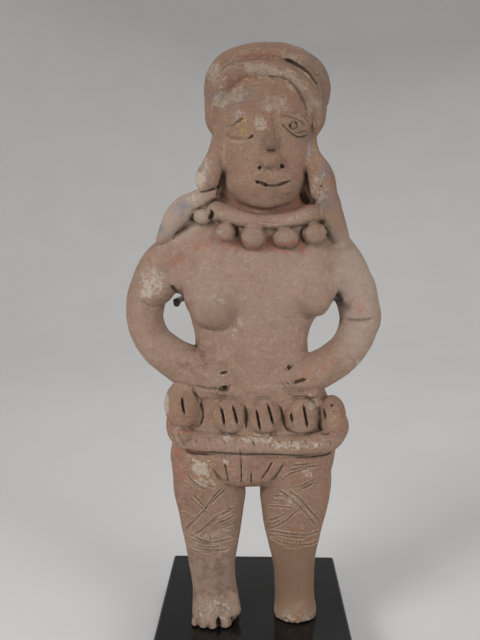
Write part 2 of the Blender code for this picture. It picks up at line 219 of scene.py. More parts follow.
@dataclass
class Body:
    """A solid through level, rounded sections: height, left, right, front, back."""

    sections: Rows
    squareness: float = 2.7
    end_round: float = 8.0
    steps: int = 6

    def __post_init__(self) -> None:
        """Reads the sections as a dense table."""
        self.table = smooth_rows(self.sections, self.steps)
        self.low = np.array([self.table[:, 1].min(), self.table[:, 3].min(), self.table[0, 0]])
        self.high = np.array([self.table[:, 2].max(), self.table[:, 4].max(), self.table[-1, 0]])

    def distance(self, x: Array, y: Array, z: Array) -> Array:
        """Signed distance of each place from the solid, below 0 inside."""
        left, right, front, back = (
            np.interp(z, self.table[:, 0], self.table[:, k]) for k in (1, 2, 3, 4)
        )
        half_x, half_y = (right - left) / 2, (back - front) / 2
        u = np.abs(x - (left + right) / 2) / half_x
        v = np.abs(y - (front + back) / 2) / half_y
        n = self.squareness
        reach = np.maximum((u**n + v**n) ** (1 / n), SMALL)
        slope_x = (u / reach) ** (n - 1) / half_x
        slope_y = (v / reach) ** (n - 1) / half_y
        across = (reach - 1) / np.maximum(np.hypot(slope_x, slope_y), SMALL)
        ends = np.maximum(self.table[0, 0] - z, z - self.table[-1, 0])
        return -soft_least(-across, -ends, self.end_round)


@dataclass
class Roll:
    """A roll of clay with round ends, through rows of x, y, z and radius."""

    rows: Rows
    deep: float = 1.0
    steps: int = 4

    def __post_init__(self) -> None:
        """Reads the roll as short straight stretches."""
        self.path = smooth_rows(self.rows, self.steps)
        reach = self.path[:, 3:4] * np.array([1.0, self.deep, 1.0])
        self.low = (self.path[:, :3] - reach).min(0)
        self.high = (self.path[:, :3] + reach).max(0)

    def distance(self, x: Array, y: Array, z: Array) -> Array:
        """Signed distance of each place from the roll, below 0 inside."""
        nearest = np.full(len(x), HUGE)
        squash = np.array([1.0, 1 / self.deep, 1.0])
        places = np.stack([x, y / self.deep, z], 1)
        for start, end in zip(self.path, self.path[1:]):
            a, run = start[:3] * squash, (end[:3] - start[:3]) * squash
            offset = places - a
            along = np.clip(offset @ run / max(run @ run, TINY), 0, 1)
            gap = np.linalg.norm(offset - along[:, None] * run, axis=1)
            nearest = np.minimum(nearest, gap - (start[3] + along * (end[3] - start[3])))
        return nearest


@dataclass
class Mound:
    """An ellipsoid of clay: its centre and half sizes."""

    centre: Place
    half: Place

    def __post_init__(self) -> None:
        """Works out the box that holds the mound."""
        self.low = np.array(self.centre) - np.array(self.half)
        self.high = np.array(self.centre) + np.array(self.half)

    def distance(self, x: Array, y: Array, z: Array) -> Array:
        """Signed distance of each place from the mound, below 0 inside."""
        half_x, half_y, half_z = self.half
        u = (x - self.centre[0]) / half_x
        v = (y - self.centre[1]) / half_y
        w = (z - self.centre[2]) / half_z
        reach = np.sqrt(u**2 + v**2 + w**2)
        slope = np.sqrt((u / half_x) ** 2 + (v / half_y) ** 2 + (w / half_z) ** 2)
        return reach * (reach - 1) / np.maximum(slope, SMALL)


@dataclass
class Cut:
    """Lines pressed or scratched into the front of the clay, placed as they are seen.

    The burr is clay pushed up beside a line. A line narrows towards its ends over the taper.
    """

    lines: Lines
    depth: float
    half_width: float
    burr: float = 0.0
    taper: float = 0.0
    steps: int = 4

    def __post_init__(self) -> None:
        """Reads each line as a row of points."""
        self.read = [
            smooth_rows(line, self.steps) if len(line) > 2 else np.array(line, float)
            for line in self.lines
        ]

    def near(self, line: Array, x: Array, y: Array, z: Array) -> Array:
        """The numbers of the places in the box round a line."""
        reach = self.half_width * CUT_REACH
        low, high = line.min(0) - reach, line.max(0) + reach
        inside = (x > low[0]) & (x < high[0]) & (z > low[1]) & (z < high[1])
        return np.flatnonzero(inside & (y < FRONT_Y))

    def change(self, x: Array, y: Array, z: Array) -> Array:
        """How far the surface goes in at each place."""
        push = np.zeros(len(x))
        for line in self.read:
            index = self.near(line, x, y, z)
            if not index.size:
                continue
            px, pz = x[index], z[index]
            away = line_distance(px, pz, line) / self.half_width
            size = 1.0
            if self.taper:
                ends = [np.hypot(px - a, pz - b) for a, b in (line[0], line[-1])]
                size = np.clip(np.minimum(*ends) / self.taper, LEAST_TAPER, 1)
            away = away / size
            press = size * self.depth * np.exp(-(away**2))
            press -= self.burr * np.exp(-(((away - BURR_AT) / BURR_WIDTH) ** 2))
            old = push[index]
            push[index] = np.where(old > CROSSING * self.depth, np.maximum(old, press), old + press)
        return push * in_front(y)

    def wanted(self, x: Array, y: Array, z: Array, finest: float) -> Array:
        """The longest edge wanted at each place, short on the lines and on a high burr."""
        steep = self.depth > self.half_width
        fine = max(self.half_width * (0.65 if steep else 1.1), finest)
        band = self.half_width * (2.8 if self.burr >= 1 else 2)
        length = np.full(len(x), NO_LIMIT)
        for line in self.read:
            index = self.near(line, x, y, z)
            if index.size:
                length[index[line_distance(x[index], z[index], line) < band]] = fine
        return length


@dataclass
class Pits:
    """Holes pressed with a point, placed as they are seen: x, z, radius, depth."""

    rows: Rows

    def change(self, x: Array, y: Array, z: Array) -> Array:
        """How far the surface goes in at each place."""
        push = np.zeros(len(x))
        for pit_x, pit_z, radius, depth in self.rows:
            away = np.hypot(x - pit_x, z - pit_z) / radius
            push = np.maximum(push, depth * np.exp(-(away**4)))
        return push * in_front(y)

    def wanted(self, x: Array, y: Array, z: Array, finest: float) -> Array:
        """The longest edge wanted at each place, short on the pits."""
        length = np.full(len(x), NO_LIMIT)
        for pit_x, pit_z, radius, _ in self.rows:
            near = (np.hypot(x - pit_x, z - pit_z) < radius * 2) & (y < FRONT_Y)
            length[near] = np.minimum(length[near], max(radius * 0.35, finest))
        return length


@dataclass
class Lumps:
    """Unevenness left by the hand, as soft seeded noise."""

    size: float
    height: float
    seed: int

    def change(self, x: Array, y: Array, z: Array) -> Array:
        """How far the surface goes in at each place."""
        return lattice(np.stack([x, y, z], 1), self.size, self.seed) * self.height


@dataclass
class Rough:
    """Broken or crusted patches, placed as they are seen: x, z, half width, half height, relief."""

    rows: Rows
    size: float
    seed: int
    edge: float = 0.5

    def change(self, x: Array, y: Array, z: Array) -> Array:
        """How far the surface goes in or stands out at each place."""
        push = np.zeros(len(x))
        for middle_x, middle_z, half_x, half_z, relief in self.rows:
            away = np.hypot((x - middle_x) / half_x, (z - middle_z) / half_z)
            index = np.flatnonzero((away < PATCH_REACH) & (y < FRONT_Y))
            places = np.stack([x, y, z], 1)[index]
            noise = lattice(places, self.size, self.seed)
            noise = noise + 0.6 * lattice(places, self.size / 2, self.seed + 1)
            push[index] += relief * noise * np.clip((PATCH_REACH - away[index]) / self.edge, 0, 1)
        return push

    def wanted(self, x: Array, y: Array, z: Array, finest: float) -> Array:
        """The longest edge wanted at each place, half the grain's size on the patches."""
        length = np.full(len(x), NO_LIMIT)
        for middle_x, middle_z, half_x, half_z, _ in self.rows:
            near = np.hypot((x - middle_x) / half_x, (z - middle_z) / half_z) < PATCH_REACH
            length[near & (y < FRONT_Y)] = max(self.size / 2, finest)
        return length


@dataclass
class Clay:
    """The clay as it is put together, form by form and line by line."""

    forms: list = field(default_factory=list)
    marks: list = field(default_factory=list)
    lumps: list = field(default_factory=list)

    def lay(self, form: "Body | Roll | Mound", blend: float, how: Lay = Lay.ON) -> None:
        """Adds a form to the clay, or takes it out.

        Args:
            form: the form.
            blend: how softly it meets the clay, in shares.
            how: joined on or taken out.
        """
        self.forms.append((form, blend, how))

    def heap(self, blend: float, *rows: tuple[float, ...]) -> None:
        """Joins mounds on, each a row of its centre and half sizes."""
        for row in rows:
            self.lay(Mound(row[:3], row[3:]), blend)

    def mark(self, mark: "Cut | Pits | Rough") -> None:
        """Adds lines, pits or broken patches to the front."""
        self.marks.append(mark)

    def cut(
        self, depth: float, half_width: float, *lines: Line, burr: float = 0.0, taper: float = 0.0
    ) -> None:
        """Cuts lines of one kind into the front.

        Args:
            depth: how deep they are.
            half_width: half their width.
            lines: the lines, each of two or more points.
            burr: how high the clay stands beside them.
            taper: the length over which each end narrows.
        """
        self.mark(Cut(lines, depth, half_width, burr, taper))

    def value(self, places: Array) -> Array:
        """Signed distance of places from the clay's skin.

        Args:
            places: rows of x, y, z in shares.

        Returns:
            One distance for each row, below 0 inside the clay.
        """
        x, y, z = places.T
        out = np.full(len(x), FAR)
        for form, blend, how in self.forms:
            near = np.all((places > form.low - NEAR) & (places < form.high + NEAR), axis=1)
            index = np.flatnonzero(near)
            if not index.size:
                continue
            away = form.distance(x[index], y[index], z[index])
            if how is Lay.ON:
                out[index] = soft_least(out[index], away, blend)
            else:
                out[index] = -soft_least(-out[index], away, blend)
        return np.maximum(out, -z)

    def press(self, places: Array, facing: Array) -> Array:
        """How far the marks push the skin in at each place.

        Args:
            places: rows of x, y, z on the skin.
            facing: how squarely the skin faces the front at each place.

        Returns:
            One distance for each row. Marks fade where the skin turns away.
        """
        x, z = seen(places)
        edge_on, fade = 0.12, 0.35
        front = np.clip((facing - edge_on) / fade, 0, 1)
        return front * sum(mark.change(x, places[:, 1], z) for mark in self.marks)

    def unevenness(self, places: Array) -> Array:
        """How far the lumps push the skin in at each place."""
        return sum(lump.change(*places.T) for lump in self.lumps)

    def slope(self, places: Array, here: Array) -> Array:
        """The direction in which the distance grows at each place."""
        step = 0.25
        moved = [self.value(places + step * axis) for axis in np.eye(3)]
        return np.stack([(there - here) / step for there in moved], 1)

    def settle(self, places: Array, rounds: int = 2) -> Array:
        """Moves places onto the skin.

        Args:
            places: rows of x, y, z near the skin.
            rounds: how many steps are taken.

        Returns:
            The moved rows.
        """
        least_slope, longest_move = 0.3, 2.5
        for _ in range(rounds):
            here = self.value(places)
            slope = self.slope(places, here)
            size = np.maximum((slope**2).sum(1), least_slope)
            move = slope * (here / size)[:, None]
            far = np.maximum(np.linalg.norm(move, axis=1) / longest_move, 1)
            places = places - move / far[:, None]
        return places

    def pressed(self, places: Array) -> Array:
        """Moves places on the unmarked skin in to the marked one."""
        slope = self.slope(places, self.value(places))
        slope /= np.maximum(np.linalg.norm(slope, axis=1), SMALL)[:, None]
        push = self.press(places, -slope[:, 1]) + self.unevenness(places)
        moved = places - slope * push[:, None]
        moved[:, 2] = np.maximum(moved[:, 2], 0)
        return moved


@dataclass
class Skin:
    """Meshes the clay's surface on a grid, then splits edges where there is detail."""

    clay: Clay
    low: Place = (-228, -96, -8)
    high: Place = (226, 66, 1006)
    grid: float = 7.0
    finest: float = 1.55
    error: float = 0.35
    rounds: int = 4
    triangles: int = 190000

    def sample(self) -> Array:
        """Reads the distance at every node of the grid."""
        axes = [np.arange(a, b, self.grid) for a, b in zip(self.low, self.high)]
        nodes = np.stack(np.meshgrid(*axes, indexing="ij"), -1)
        return self.clay.value(nodes.reshape(-1, 3)).reshape(nodes.shape[:3])

    def net(self) -> tuple[Array, Array]:
        """Makes the first mesh, with one place in each grid cell that the skin crosses.

        Returns:
            The places, in shares, and the triangles as rows of three place numbers.
        """
        values = self.sample()
        inside = values < 0
        shape = np.array(values.shape)
        total = np.zeros((*shape, 3))
        count = np.zeros(shape)
        quads = []
        for axis in range(3):
            other = [k for k in range(3) if k != axis]
            here = np.moveaxis(values, axis, 0)
            crossing = np.moveaxis(inside, axis, 0)
            crossed = np.argwhere(crossing[:-1] != crossing[1:])
            start = np.zeros_like(crossed)
            start[:, axis], start[:, other[0]], start[:, other[1]] = crossed.T
            first = here[tuple(crossed.T)]
            second = here[tuple((crossed + [1, 0, 0]).T)]
            place = start.astype(float)
            place[:, axis] += first / (first - second)
            around = []
            for step_a, step_b in ((0, 0), (1, 0), (1, 1), (0, 1)):
                cell = start.copy()
                cell[:, other[0]] -= step_a
                cell[:, other[1]] -= step_b
                flat = np.ravel_multi_index(cell.T, shape)
                np.add.at(total.reshape(-1, 3), flat, place)
                np.add.at(count.reshape(-1), flat, 1)
                around.append(flat)
            quad = np.stack(around, 1)
            flip = (first < 0) != (axis != 1)
            quad[flip] = quad[flip][:, ::-1]
            quads.append(quad)
        used = np.flatnonzero(count.reshape(-1))
        places = total.reshape(-1, 3)[used] / count.reshape(-1)[used][:, None]
        places = places * self.grid + np.array(self.low)
        number = np.zeros(count.size, int)
        number[used] = np.arange(used.size)
        quads = number[np.vstack(quads)]
        across = np.linalg.norm(places[quads[:, 0]] - places[quads[:, 2]], axis=1)
        other_way = np.linalg.norm(places[quads[:, 1]] - places[quads[:, 3]], axis=1)
        short = across <= other_way
        pick = np.where(short[:, None], quads, np.roll(quads, -1, axis=1))
        return places, np.vstack([pick[:, [0, 1, 2]], pick[:, [0, 2, 3]]])

    def wanted(self, middles: Array) -> Array:
        """The longest edge wanted at each place, short near the marks."""
        x, z = seen(middles)
        limits = [mark.wanted(x, middles[:, 1], z, self.finest) for mark in self.clay.marks]
        return np.minimum.reduce(limits)

    def split(self, places: Array, faces: Array) -> tuple[Array, Array, bool]:
        """Splits the edges that are too long for the detail they cross.

        Args:
            places: rows of x, y, z in shares.
            faces: triangles.

        Returns:
            The new places and triangles, and whether anything was split.
        """
        sides = np.sort(np.vstack([faces[:, [0, 1]], faces[:, [1, 2]], faces[:, [2, 0]]]), axis=1)
        edges, which = np.unique(sides, axis=0, return_inverse=True)
        which = which.reshape(-1)
        ends = places[edges]
        middle = ends.mean(1)
        length = np.linalg.norm(ends[:, 0] - ends[:, 1], axis=1)
        off = np.abs(self.clay.value(middle))
        bent = np.where(length > 2.5 * self.finest, off / self.error, 0)
        need = np.maximum(length / self.wanted(middle), bent)
        chosen = np.flatnonzero(need > 1)
        room = (self.triangles - len(faces)) // 2
        if chosen.size > room:
            chosen = chosen[np.argsort(-need[chosen])[: max(room, 0)]]
        if not chosen.size:
            return places, faces, False
        new = np.full(len(edges), -1)
        new[chosen] = len(places) + np.arange(chosen.size)
        fresh = self.clay.settle(middle[chosen])
        mids = new[which].reshape(3, -1).T
        pieces = []
        marked = mids >= 0
        for amount in range(4):
            rows = np.flatnonzero(marked.sum(1) == amount)
            if not rows.size:
                continue
            if amount in (1, 2):
                odd = marked[rows] if amount == 1 else ~marked[rows]
                turn = np.argmax(odd, axis=1)
            else:
                turn = np.zeros(rows.size, int)
            order = (turn[:, None] + np.arange(3)) % 3
            a, b, c = np.take_along_axis(faces[rows], order, 1).T
            ab, bc, ca = np.take_along_axis(mids[rows], order, 1).T
            if amount == 0:
                pieces += [(a, b, c)]
            elif amount == 1:
                pieces += [(a, ab, c), (ab, b, c)]
            elif amount == 2:
                pieces += [(bc, c, ca), (a, b, bc), (a, bc, ca)]
            else:
                pieces += [(a, ab, ca), (ab, b, bc), (ca, bc, c), (ab, bc, ca)]
        triangles = np.vstack([np.stack(piece, 1) for piece in pieces])
        return np.vstack([places, fresh]), triangles, True

    def relax(self, places: Array, faces: Array) -> Array:
        """Evens the triangles out along the skin."""
        sides = np.vstack([faces[:, [0, 1]], faces[:, [1, 2]], faces[:, [2, 0]]])
        total = np.zeros_like(places)
        count = np.zeros(len(places))
        for a, b in ((0, 1), (1, 0)):
            np.add.at(total, sides[:, a], places[sides[:, b]])
            np.add.at(count, sides[:, a], 1)
        mean = total / np.maximum(count, 1)[:, None]
        return self.clay.settle(places + 0.5 * (mean - places), 1)

    def mesh(self) -> tuple[Array, Array]:
        """Meshes the clay.

        Returns:
            The places, in shares, and the triangles.
        """
        places, faces = self.net()
        places = self.clay.settle(places)
        places = self.relax(places, faces)
        for _ in range(self.rounds):
            places, faces, more = self.split(places, faces)
            if not more:
                break
            places = self.relax(places, faces)
        return self.clay.pressed(self.clay.settle(places, 1)), faces


@dataclass
class Trunk:
    """The flat trunk with its neck and breasts."""

    sections: Rows = (
        (254, -138, 133, -46, 38), (266, -143, 136, -49, 40), (280, -146, 139, -51, 42),
        (304, -147, 143, -52, 43), (334, -140, 144, -52, 43), (363, -131, 143, -51, 43),
        (392, -121, 136, -49, 42), (421, -111, 123, -47, 41), (464, -101, 99, -45, 40),
        (507, -102, 92, -44, 40), (535, -106, 100, -45, 41), (555, -112, 115, -46, 41),
        (577, -122, 136, -46, 42), (622, -142, 152, -47, 42), (660, -154, 160, -46, 42),
        (682, -148, 156, -45, 40), (702, -120, 138, -43, 38), (720, -88, 112, -40, 36),
        (740, -66, 94, -34, 34),
    )
    neck: Rows = ((700, -48, 82, -40, 38), (740, -36, 70, -36, 38), (790, -36, 72, -30, 38))
    breasts: Rows = from_view(
        (-70, -34, 588, 46, 17, 52), (-68, -42, 564, 37, 23, 35), (94, -34, 600, 44, 16, 44),
        (103, -42, 580, 26, 21, 27),
    )
    left_breast_fold: Line = ((-94, 541), (-80, 531), (-62, 527), (-45, 532), (-35, 548))
    right_breast_fold: Line = ((66, 556), (80, 550), (95, 549), (110, 553))
    belly_folds: Lines = (
        ((-40, 541), (-5, 543), (30, 540)),
        ((-20, 512), (15, 514), (48, 511)),
        ((10, 490), (38, 492)),
        ((-62, 493), (-30, 495)),
    )

    def model(self, clay: Clay) -> None:
        """Lays the trunk, neck and breasts."""
        clay.lay(Body(self.sections), 0)
        clay.lay(Body(self.neck), 12)
        clay.heap(9, *self.breasts)
        clay.cut(2.2, 3.5, self.left_breast_fold, taper=14)
        clay.cut(2.2, 4, self.right_breast_fold, taper=12)
        clay.cut(0.7, 2.4, *self.belly_folds, taper=12)


@dataclass
class Legs:
    """Two flat legs with feet, the right one with its toes broken off."""

    left: Rows = (
        (-14, -109, -26, -42, 34), (16, -110, -26, -37, 34), (46, -110, -31, -34, 34),
        (77, -114, -33, -35, 35), (108, -119, -31, -38, 36), (139, -124, -26, -41, 37),
        (169, -130, -22, -44, 38), (200, -134, -17, -47, 39), (232, -141, -14, -49, 40),
        (262, -143, -22, -49, 40), (282, -136, -40, -40, 34),
    )
    right: Rows = (
        (-14, 42, 113, -34, 34), (16, 42, 113, -35, 34), (46, 40, 110, -34, 34),
        (77, 38, 110, -35, 35), (108, 33, 112, -38, 36), (139, 27, 117, -41, 37),
        (169, 20, 124, -44, 38), (200, 15, 130, -47, 39), (232, 12, 136, -49, 40),
        (262, 16, 138, -49, 40), (282, 34, 130, -40, 34),
    )
    left_foot: tuple[float, ...] = (-70, -22, 8, 40, 32, 36)
    right_foot: tuple[float, ...] = (76, -10, 8, 37, 31, 34)
    great_toe: Rows = ((-46, -18, 36, 15), (-38, -26, 27, 14), (-34, -33, 20, 12))
    toes: Rows = (
        (-103, -44, 2, 7, 13, 12), (-87, -47, 3, 10.5, 15, 14), (-71, -50, 3, 9.5, 15, 15),
        (-49, -46, 4, 11, 14, 14),
    )
    broken_toes: Rows = ((78, 9, 40, 13, 1.9),)
    thigh_crust: Rows = ((-87, 287, 22, 19, 2.2), (-104, 307, 12, 8, 1.2))
    toe_gaps: Lines = (
        ((-61, 14), (-61, 3), (-60, -9)),
        ((-38, 13), (-37.5, 3), (-37, -5)),
        ((-38, 8), (-30, 6), (-24, 6)),
    )
    toe_dents: Lines = (((-96, 5), (-96, -9)), ((-79, 0), (-79, -12)))
    left_scratches: Lines = (
        ((-116, 281), (-107, 267), (-97, 258), (-88, 252), (-79, 251)),
        ((-91, 262), (-75, 256), (-61, 254)),
        ((-126, 263), (-112, 258), (-104, 250)),
        ((-139, 289), (-131, 281)),
        ((-47, 252), (-62, 237), (-80, 217)),
        ((-53, 254), (-70, 234), (-84, 213), (-103, 192), (-121, 175)),
        ((-112, 239), (-96, 222), (-76, 204)),
        ((-104, 241), (-84, 219)),
        ((-29, 220), (-45, 211), (-62, 202), (-76, 189), (-91, 174), (-107, 165)),
        ((-36, 214), (-56, 203), (-73, 187), (-86, 174)),
        ((-28, 206), (-48, 194), (-66, 188)),
        ((-29, 198), (-50, 188), (-62, 184)),
        ((-31, 189), (-49, 184)),
        ((-34, 180), (-51, 177)),
        ((-128, 225), (-115, 223)),
        ((-127, 214), (-111, 213)),
        ((-126, 208), (-113, 206)),
        ((-120, 172), (-106, 184)),
    )
    left_knee: Lines = (
        (
            (-119, 168), (-106, 165), (-95, 159), (-84, 155), (-69, 153), (-54, 156), (-40, 161),
            (-32, 164),
        ),
        ((-113, 158), (-101, 156), (-90, 152), (-72, 150), (-50, 153)),
        ((-116, 150), (-104, 145), (-90, 141), (-75, 138), (-60, 138), (-48, 141), (-37, 147)),
        ((-96, 137), (-80, 134), (-64, 135)),
    )
    right_scratches: Lines = (
        ((67, 255), (80, 257), (95, 264), (108, 271)),
        ((80, 252), (93, 257), (106, 266)),
        ((50, 270), (62, 278), (76, 284), (96, 290)),
        ((60, 285), (85, 291), (116, 295)),
        ((62, 293), (100, 298)),
        ((42, 253), (62, 237), (78, 223), (91, 208), (105, 191), (114, 182)),
        ((58, 251), (79, 236), (91, 222), (103, 208), (117, 193)),
        ((27, 180), (46, 187), (58, 195), (69, 206), (78, 214), (85, 218)),
        ((31, 239), (52, 239), (63, 232), (74, 224)),
        ((22, 221), (46, 220), (71, 217)),
        ((22, 193), (36, 197), (49, 203), (61, 210)),
        ((31, 232), (50, 231)),
        ((79, 184), (93, 184)),
        ((30, 187), (44, 193)),
    )
    right_knee: Lines = (
        ((22, 177), (41, 175), (61, 171), (80, 169), (96, 169), (110, 174), (119, 181)),
        ((26, 167), (40, 159), (56, 153), (75, 150), (95, 151), (109, 157), (117, 164)),
        ((34, 171), (58, 166), (80, 164), (97, 165)),
        ((48, 150), (66, 147), (84, 146)),
    )

    def model(self, clay: Clay) -> None:
        """Lays the legs, feet and toes and scratches the thighs."""
        for leg in (self.left, self.right):
            clay.lay(Body(leg), 6)
        clay.heap(8, self.left_foot)
        clay.lay(Roll(self.great_toe), 8)
        clay.heap(8, self.right_foot)
        clay.heap(3, *self.toes)
        clay.cut(8, 2.2, *self.toe_gaps, taper=6)
        clay.cut(3, 2.2, *self.toe_dents, taper=5)
        clay.mark(Rough(self.broken_toes, 5, 21))
        clay.mark(Rough(self.thigh_crust, 7, 22))
        clay.cut(2.2, 1.3, *self.left_scratches, *self.right_scratches, burr=1.2, taper=7)
        clay.cut(2.3, 1.4, *self.left_knee, *self.right_knee, burr=1.3, taper=9)


@dataclass
class Arms:
    """The two arms, bent at the elbow, with hands laid on the belly."""

    left: Rows = (
        (-128, -6, 668, 28), (-156, -6, 642, 31), (-174, -7, 610, 33), (-184, -8, 578, 33),
        (-188, -9, 549, 31.5), (-184, -10, 527, 31), (-173, -12, 505, 31), (-153, -16, 486, 33),
        (-132, -21, 472, 34), (-109, -27, 461, 34),
    )
    right: Rows = (
        (134, -6, 668, 28), (152, -6, 642, 31), (166, -7, 610, 33), (176, -8, 578, 35),
        (182, -9, 549, 34.5), (179, -10, 530, 33), (171, -12, 508, 31.5), (156, -15, 487, 31),
        (132, -21, 469, 31.5), (108, -27, 457, 31),
    )
    shoulder_crease: Line = ((-194, 585), (-182, 574), (-167, 567), (-150, 567))
    armpit_crease: Line = ((-121, 585), (-130, 593), (-139, 605))
    gap_nick: Line = ((-101, 505), (-97, 501), (-98, 495))
    elbow_crease: Line = ((146, 547), (165, 545), (184, 546), (203, 550))
    left_fingers: Lines = (((-58, 454.5), (-48, 456.5), (-41, 458.5)), ((-54, 427), (-44, 428.5)))
    right_fingers: Lines = (
        ((63, 435), (72, 439.5), (83, 443), (93, 446)),
        ((56.5, 463.5), (62, 471)),
        ((55, 441), (60, 432)),
    )
    under_left_hand: Line = ((-105, 433), (-86, 428), (-64, 426), (-52, 425))
    waist_line: Line = ((-20, 433), (12, 434), (44, 433), (80, 437))
    slot: Rows = from_view(
        (136, -30, 585, 3.5), (134, -30, 574, 6), (127, -30, 560, 8), (118, -30, 550, 7),
    )
    joins: Rows = (
        (-114, -14, 472, 17, 22, 26), (-110, 2, 712, 26, 34, 20), (-132, -6, 610, 26, 34, 24),
        (148, -6, 612, 30, 34, 24),
    )
    shoulders: Rows = from_view((-161, -18, 603, 33, 32, 35), (172, -16, 590, 30, 28, 40))
    left_hand: Rows = (
        (-112, -28, 460, 33), (-84, -34, 450, 30), (-60, -37, 448, 26), (-40, -38, 447, 19),
    )
    right_hand: Rows = (
        (110, -28, 458, 30), (85, -34, 449, 28), (66, -37, 447, 24), (50, -38, 448, 18),
    )

    def model(self, clay: Clay) -> None:
        """Lays the arms and hands."""
        for arm in (self.left, self.right):
            clay.lay(Roll(arm), 8)
        for hand in (self.left_hand, self.right_hand):
            clay.lay(Roll(hand, deep=0.85), 8)
        clay.heap(8, *self.joins)
        clay.heap(4, *self.shoulders)
        clay.lay(Roll(self.slot, deep=11.0), 3, Lay.OUT)
        clay.cut(3, 3, self.shoulder_crease, taper=14)
        clay.cut(4, 2.4, self.armpit_crease, taper=7)
        clay.cut(5, 1.6, self.gap_nick, taper=5)
        clay.cut(3, 2.6, self.elbow_crease, burr=0.5, taper=10)
        clay.cut(6, 1.8, self.left_fingers[0], burr=1, taper=5)
        clay.cut(10, 3, self.left_fingers[1], burr=0.8, taper=3)
        clay.cut(7, 2.8, self.right_fingers[0], burr=0.5, taper=10)
        clay.cut(9, 2.8, self.right_fingers[1], burr=0.6, taper=3)
        clay.cut(2.5, 1.5, self.right_fingers[2], taper=4)
        clay.cut(3, 2.6, self.under_left_hand, taper=12)
        clay.cut(1, 3, self.waist_line, taper=20)


@dataclass
class Head:
    """The head with its pressed face, between masses of hair."""

    skull: Rows = (
        (728, 0, 36, -46, 4), (734, -22, 56, -54, 16), (743, -34, 67, -59, 26),
        (758, -46, 76, -61, 34), (774, -50, 84, -62, 38), (798, -51, 87, -61, 42),
        (841, -53, 92, -59, 44), (885, -54, 93, -58, 44), (928, -50, 86, -53, 42),
        (955, -36, 70, -42, 36), (972, -14, 48, -26, 26),
    )
    nose: Rows = ((25, -52, 872, 4), (27, -56, 856, 6), (27, -60, 841, 8), (26, -62, 827, 9))
    nose_side: tuple[float, ...] = (18, -56, 836, 17, 9, 19)
    nose_tip: tuple[float, ...] = (25, -60, 802, 21.5, 12.5, 14)
    eyes_lips_chin: Rows = (
        (-21, -53, 850, 24, 7, 13), (63, -51, 857, 25, 8, 14), (26, -56, 757, 36, 8, 9),
        (26, -55, 779, 30, 8, 11), (17, -53, 742, 30, 8, 13),
    )
    faint_nose: Rows = ((27, -53, 912, 4), (24, -55, 890, 5.5), (23, -56, 870, 6.5))
    cheeks: Rows = (
        (784, -56, 88, -42, 38), (796, -62, 94, -47, 40), (815, -68, 99, -49, 40),
        (837, -69, 94, -50, 40), (860, -70, 99, -51, 40), (885, -70, 104, -50, 40),
        (905, -66, 104, -46, 40), (922, -56, 92, -38, 38),
    )
    mouth: Line = (
        (-7, 774), (0, 772.5), (6, 770), (12, 768.5), (19, 766), (27, 765), (35, 765), (43, 766.5),
        (50, 769), (58, 772), (65, 775.5),
    )
    nostrils_and_mouth: Rows = (
        (5, 769.5, 2, 3.5), (19, 765.5, 2.6, 4), (9, 792.5, 2.2, 4), (45, 795.5, 2.5, 4.5),
    )
    nostril_sides: Lines = (((5, 795), (9, 791)), ((41, 793.5), (50, 795)))
    under_nose: Line = ((10, 791), (18, 787.5), (28, 787), (38, 790), (45, 795))
    bridge_nick: Line = ((19, 818.5), (27, 818.5), (34, 821))
    beside_nose: Line = ((33, 858), (35, 842), (36, 824))
    left_iris: Line = ring(-18, 848, 4.6)
    right_iris: Line = ring(62.5, 858.5, 6)
    face_sides: Lines = (
        ((-46, 850), (-48, 825), (-51, 800), (-51, 785)),
        ((84, 842), (87, 820), (87, 800), (86, 785)),
    )
    pupils: Rows = ((-20, 849, 1.8, 2.2), (57.5, 858.5, 2.4, 2.5), (66, 862, 1.8, 2))
    left_lid: Line = ((-46, 857), (-38, 859.5), (-30, 863.5), (-22, 868), (-13, 870))
    left_under: Line = ((-12, 836.5), (-6, 840), (1, 845.5))
    left_fold: Line = ((-47, 840), (-35, 836), (-22, 834), (-12, 836))
    right_lids: Lines = (
        ((40, 864), (47, 857), (56, 848), (64, 842.5), (72, 840), (82, 843), (88, 846)),
        ((61, 847.5), (70, 846), (80, 849), (86, 845)),
        ((41, 872), (50, 873), (60, 871), (70, 868), (78, 862), (84, 854)),
    )
    right_brows: Lines = (
        ((41, 876.5), (54, 878.5), (68, 875.5), (78, 869)),
        ((44, 883), (56, 884.5), (69, 880)),
    )

    def model(self, clay: Clay) -> None:
        """Lays the head and presses the face in."""
        clay.lay(Body(self.skull, squareness=2.6, end_round=4), 5)
        clay.lay(Body(self.cheeks, squareness=3.2, end_round=5), 6)
        clay.lay(Roll(self.faint_nose), 7)
        clay.heap(7, self.nose_side)
        clay.lay(Roll(self.nose), 4.5)
        clay.heap(3, self.nose_tip)
        clay.heap(7, *self.eyes_lips_chin)
        clay.cut(4.6, 1.9, self.mouth, burr=0.9, taper=16)
        clay.mark(Pits(self.nostrils_and_mouth))
        clay.cut(3.5, 2, *self.nostril_sides, taper=3)
        clay.cut(1.7, 1.8, self.under_nose, taper=8)
        clay.cut(2.8, 2.1, self.bridge_nick, taper=4)
        clay.cut(2.2, 1.8, self.beside_nose, taper=8)
        clay.cut(3.8, 1.8, self.left_lid, burr=0.8, taper=9)
        clay.cut(3.6, 1.7, self.left_under, burr=0.9, taper=5)
        clay.cut(1.4, 2.2, self.left_fold, taper=8)
        clay.cut(1.8, 1.5, self.left_iris, burr=0.3)
        clay.mark(Pits(self.pupils))
        clay.cut(3, 1.5, *self.right_lids, burr=0.6, taper=8)
        clay.cut(3.2, 1.6, self.right_iris, burr=0.4)
        clay.cut(1.5, 1.5, *self.right_brows, burr=0.6, taper=9)
        clay.cut(1, 4, *self.face_sides, taper=20)


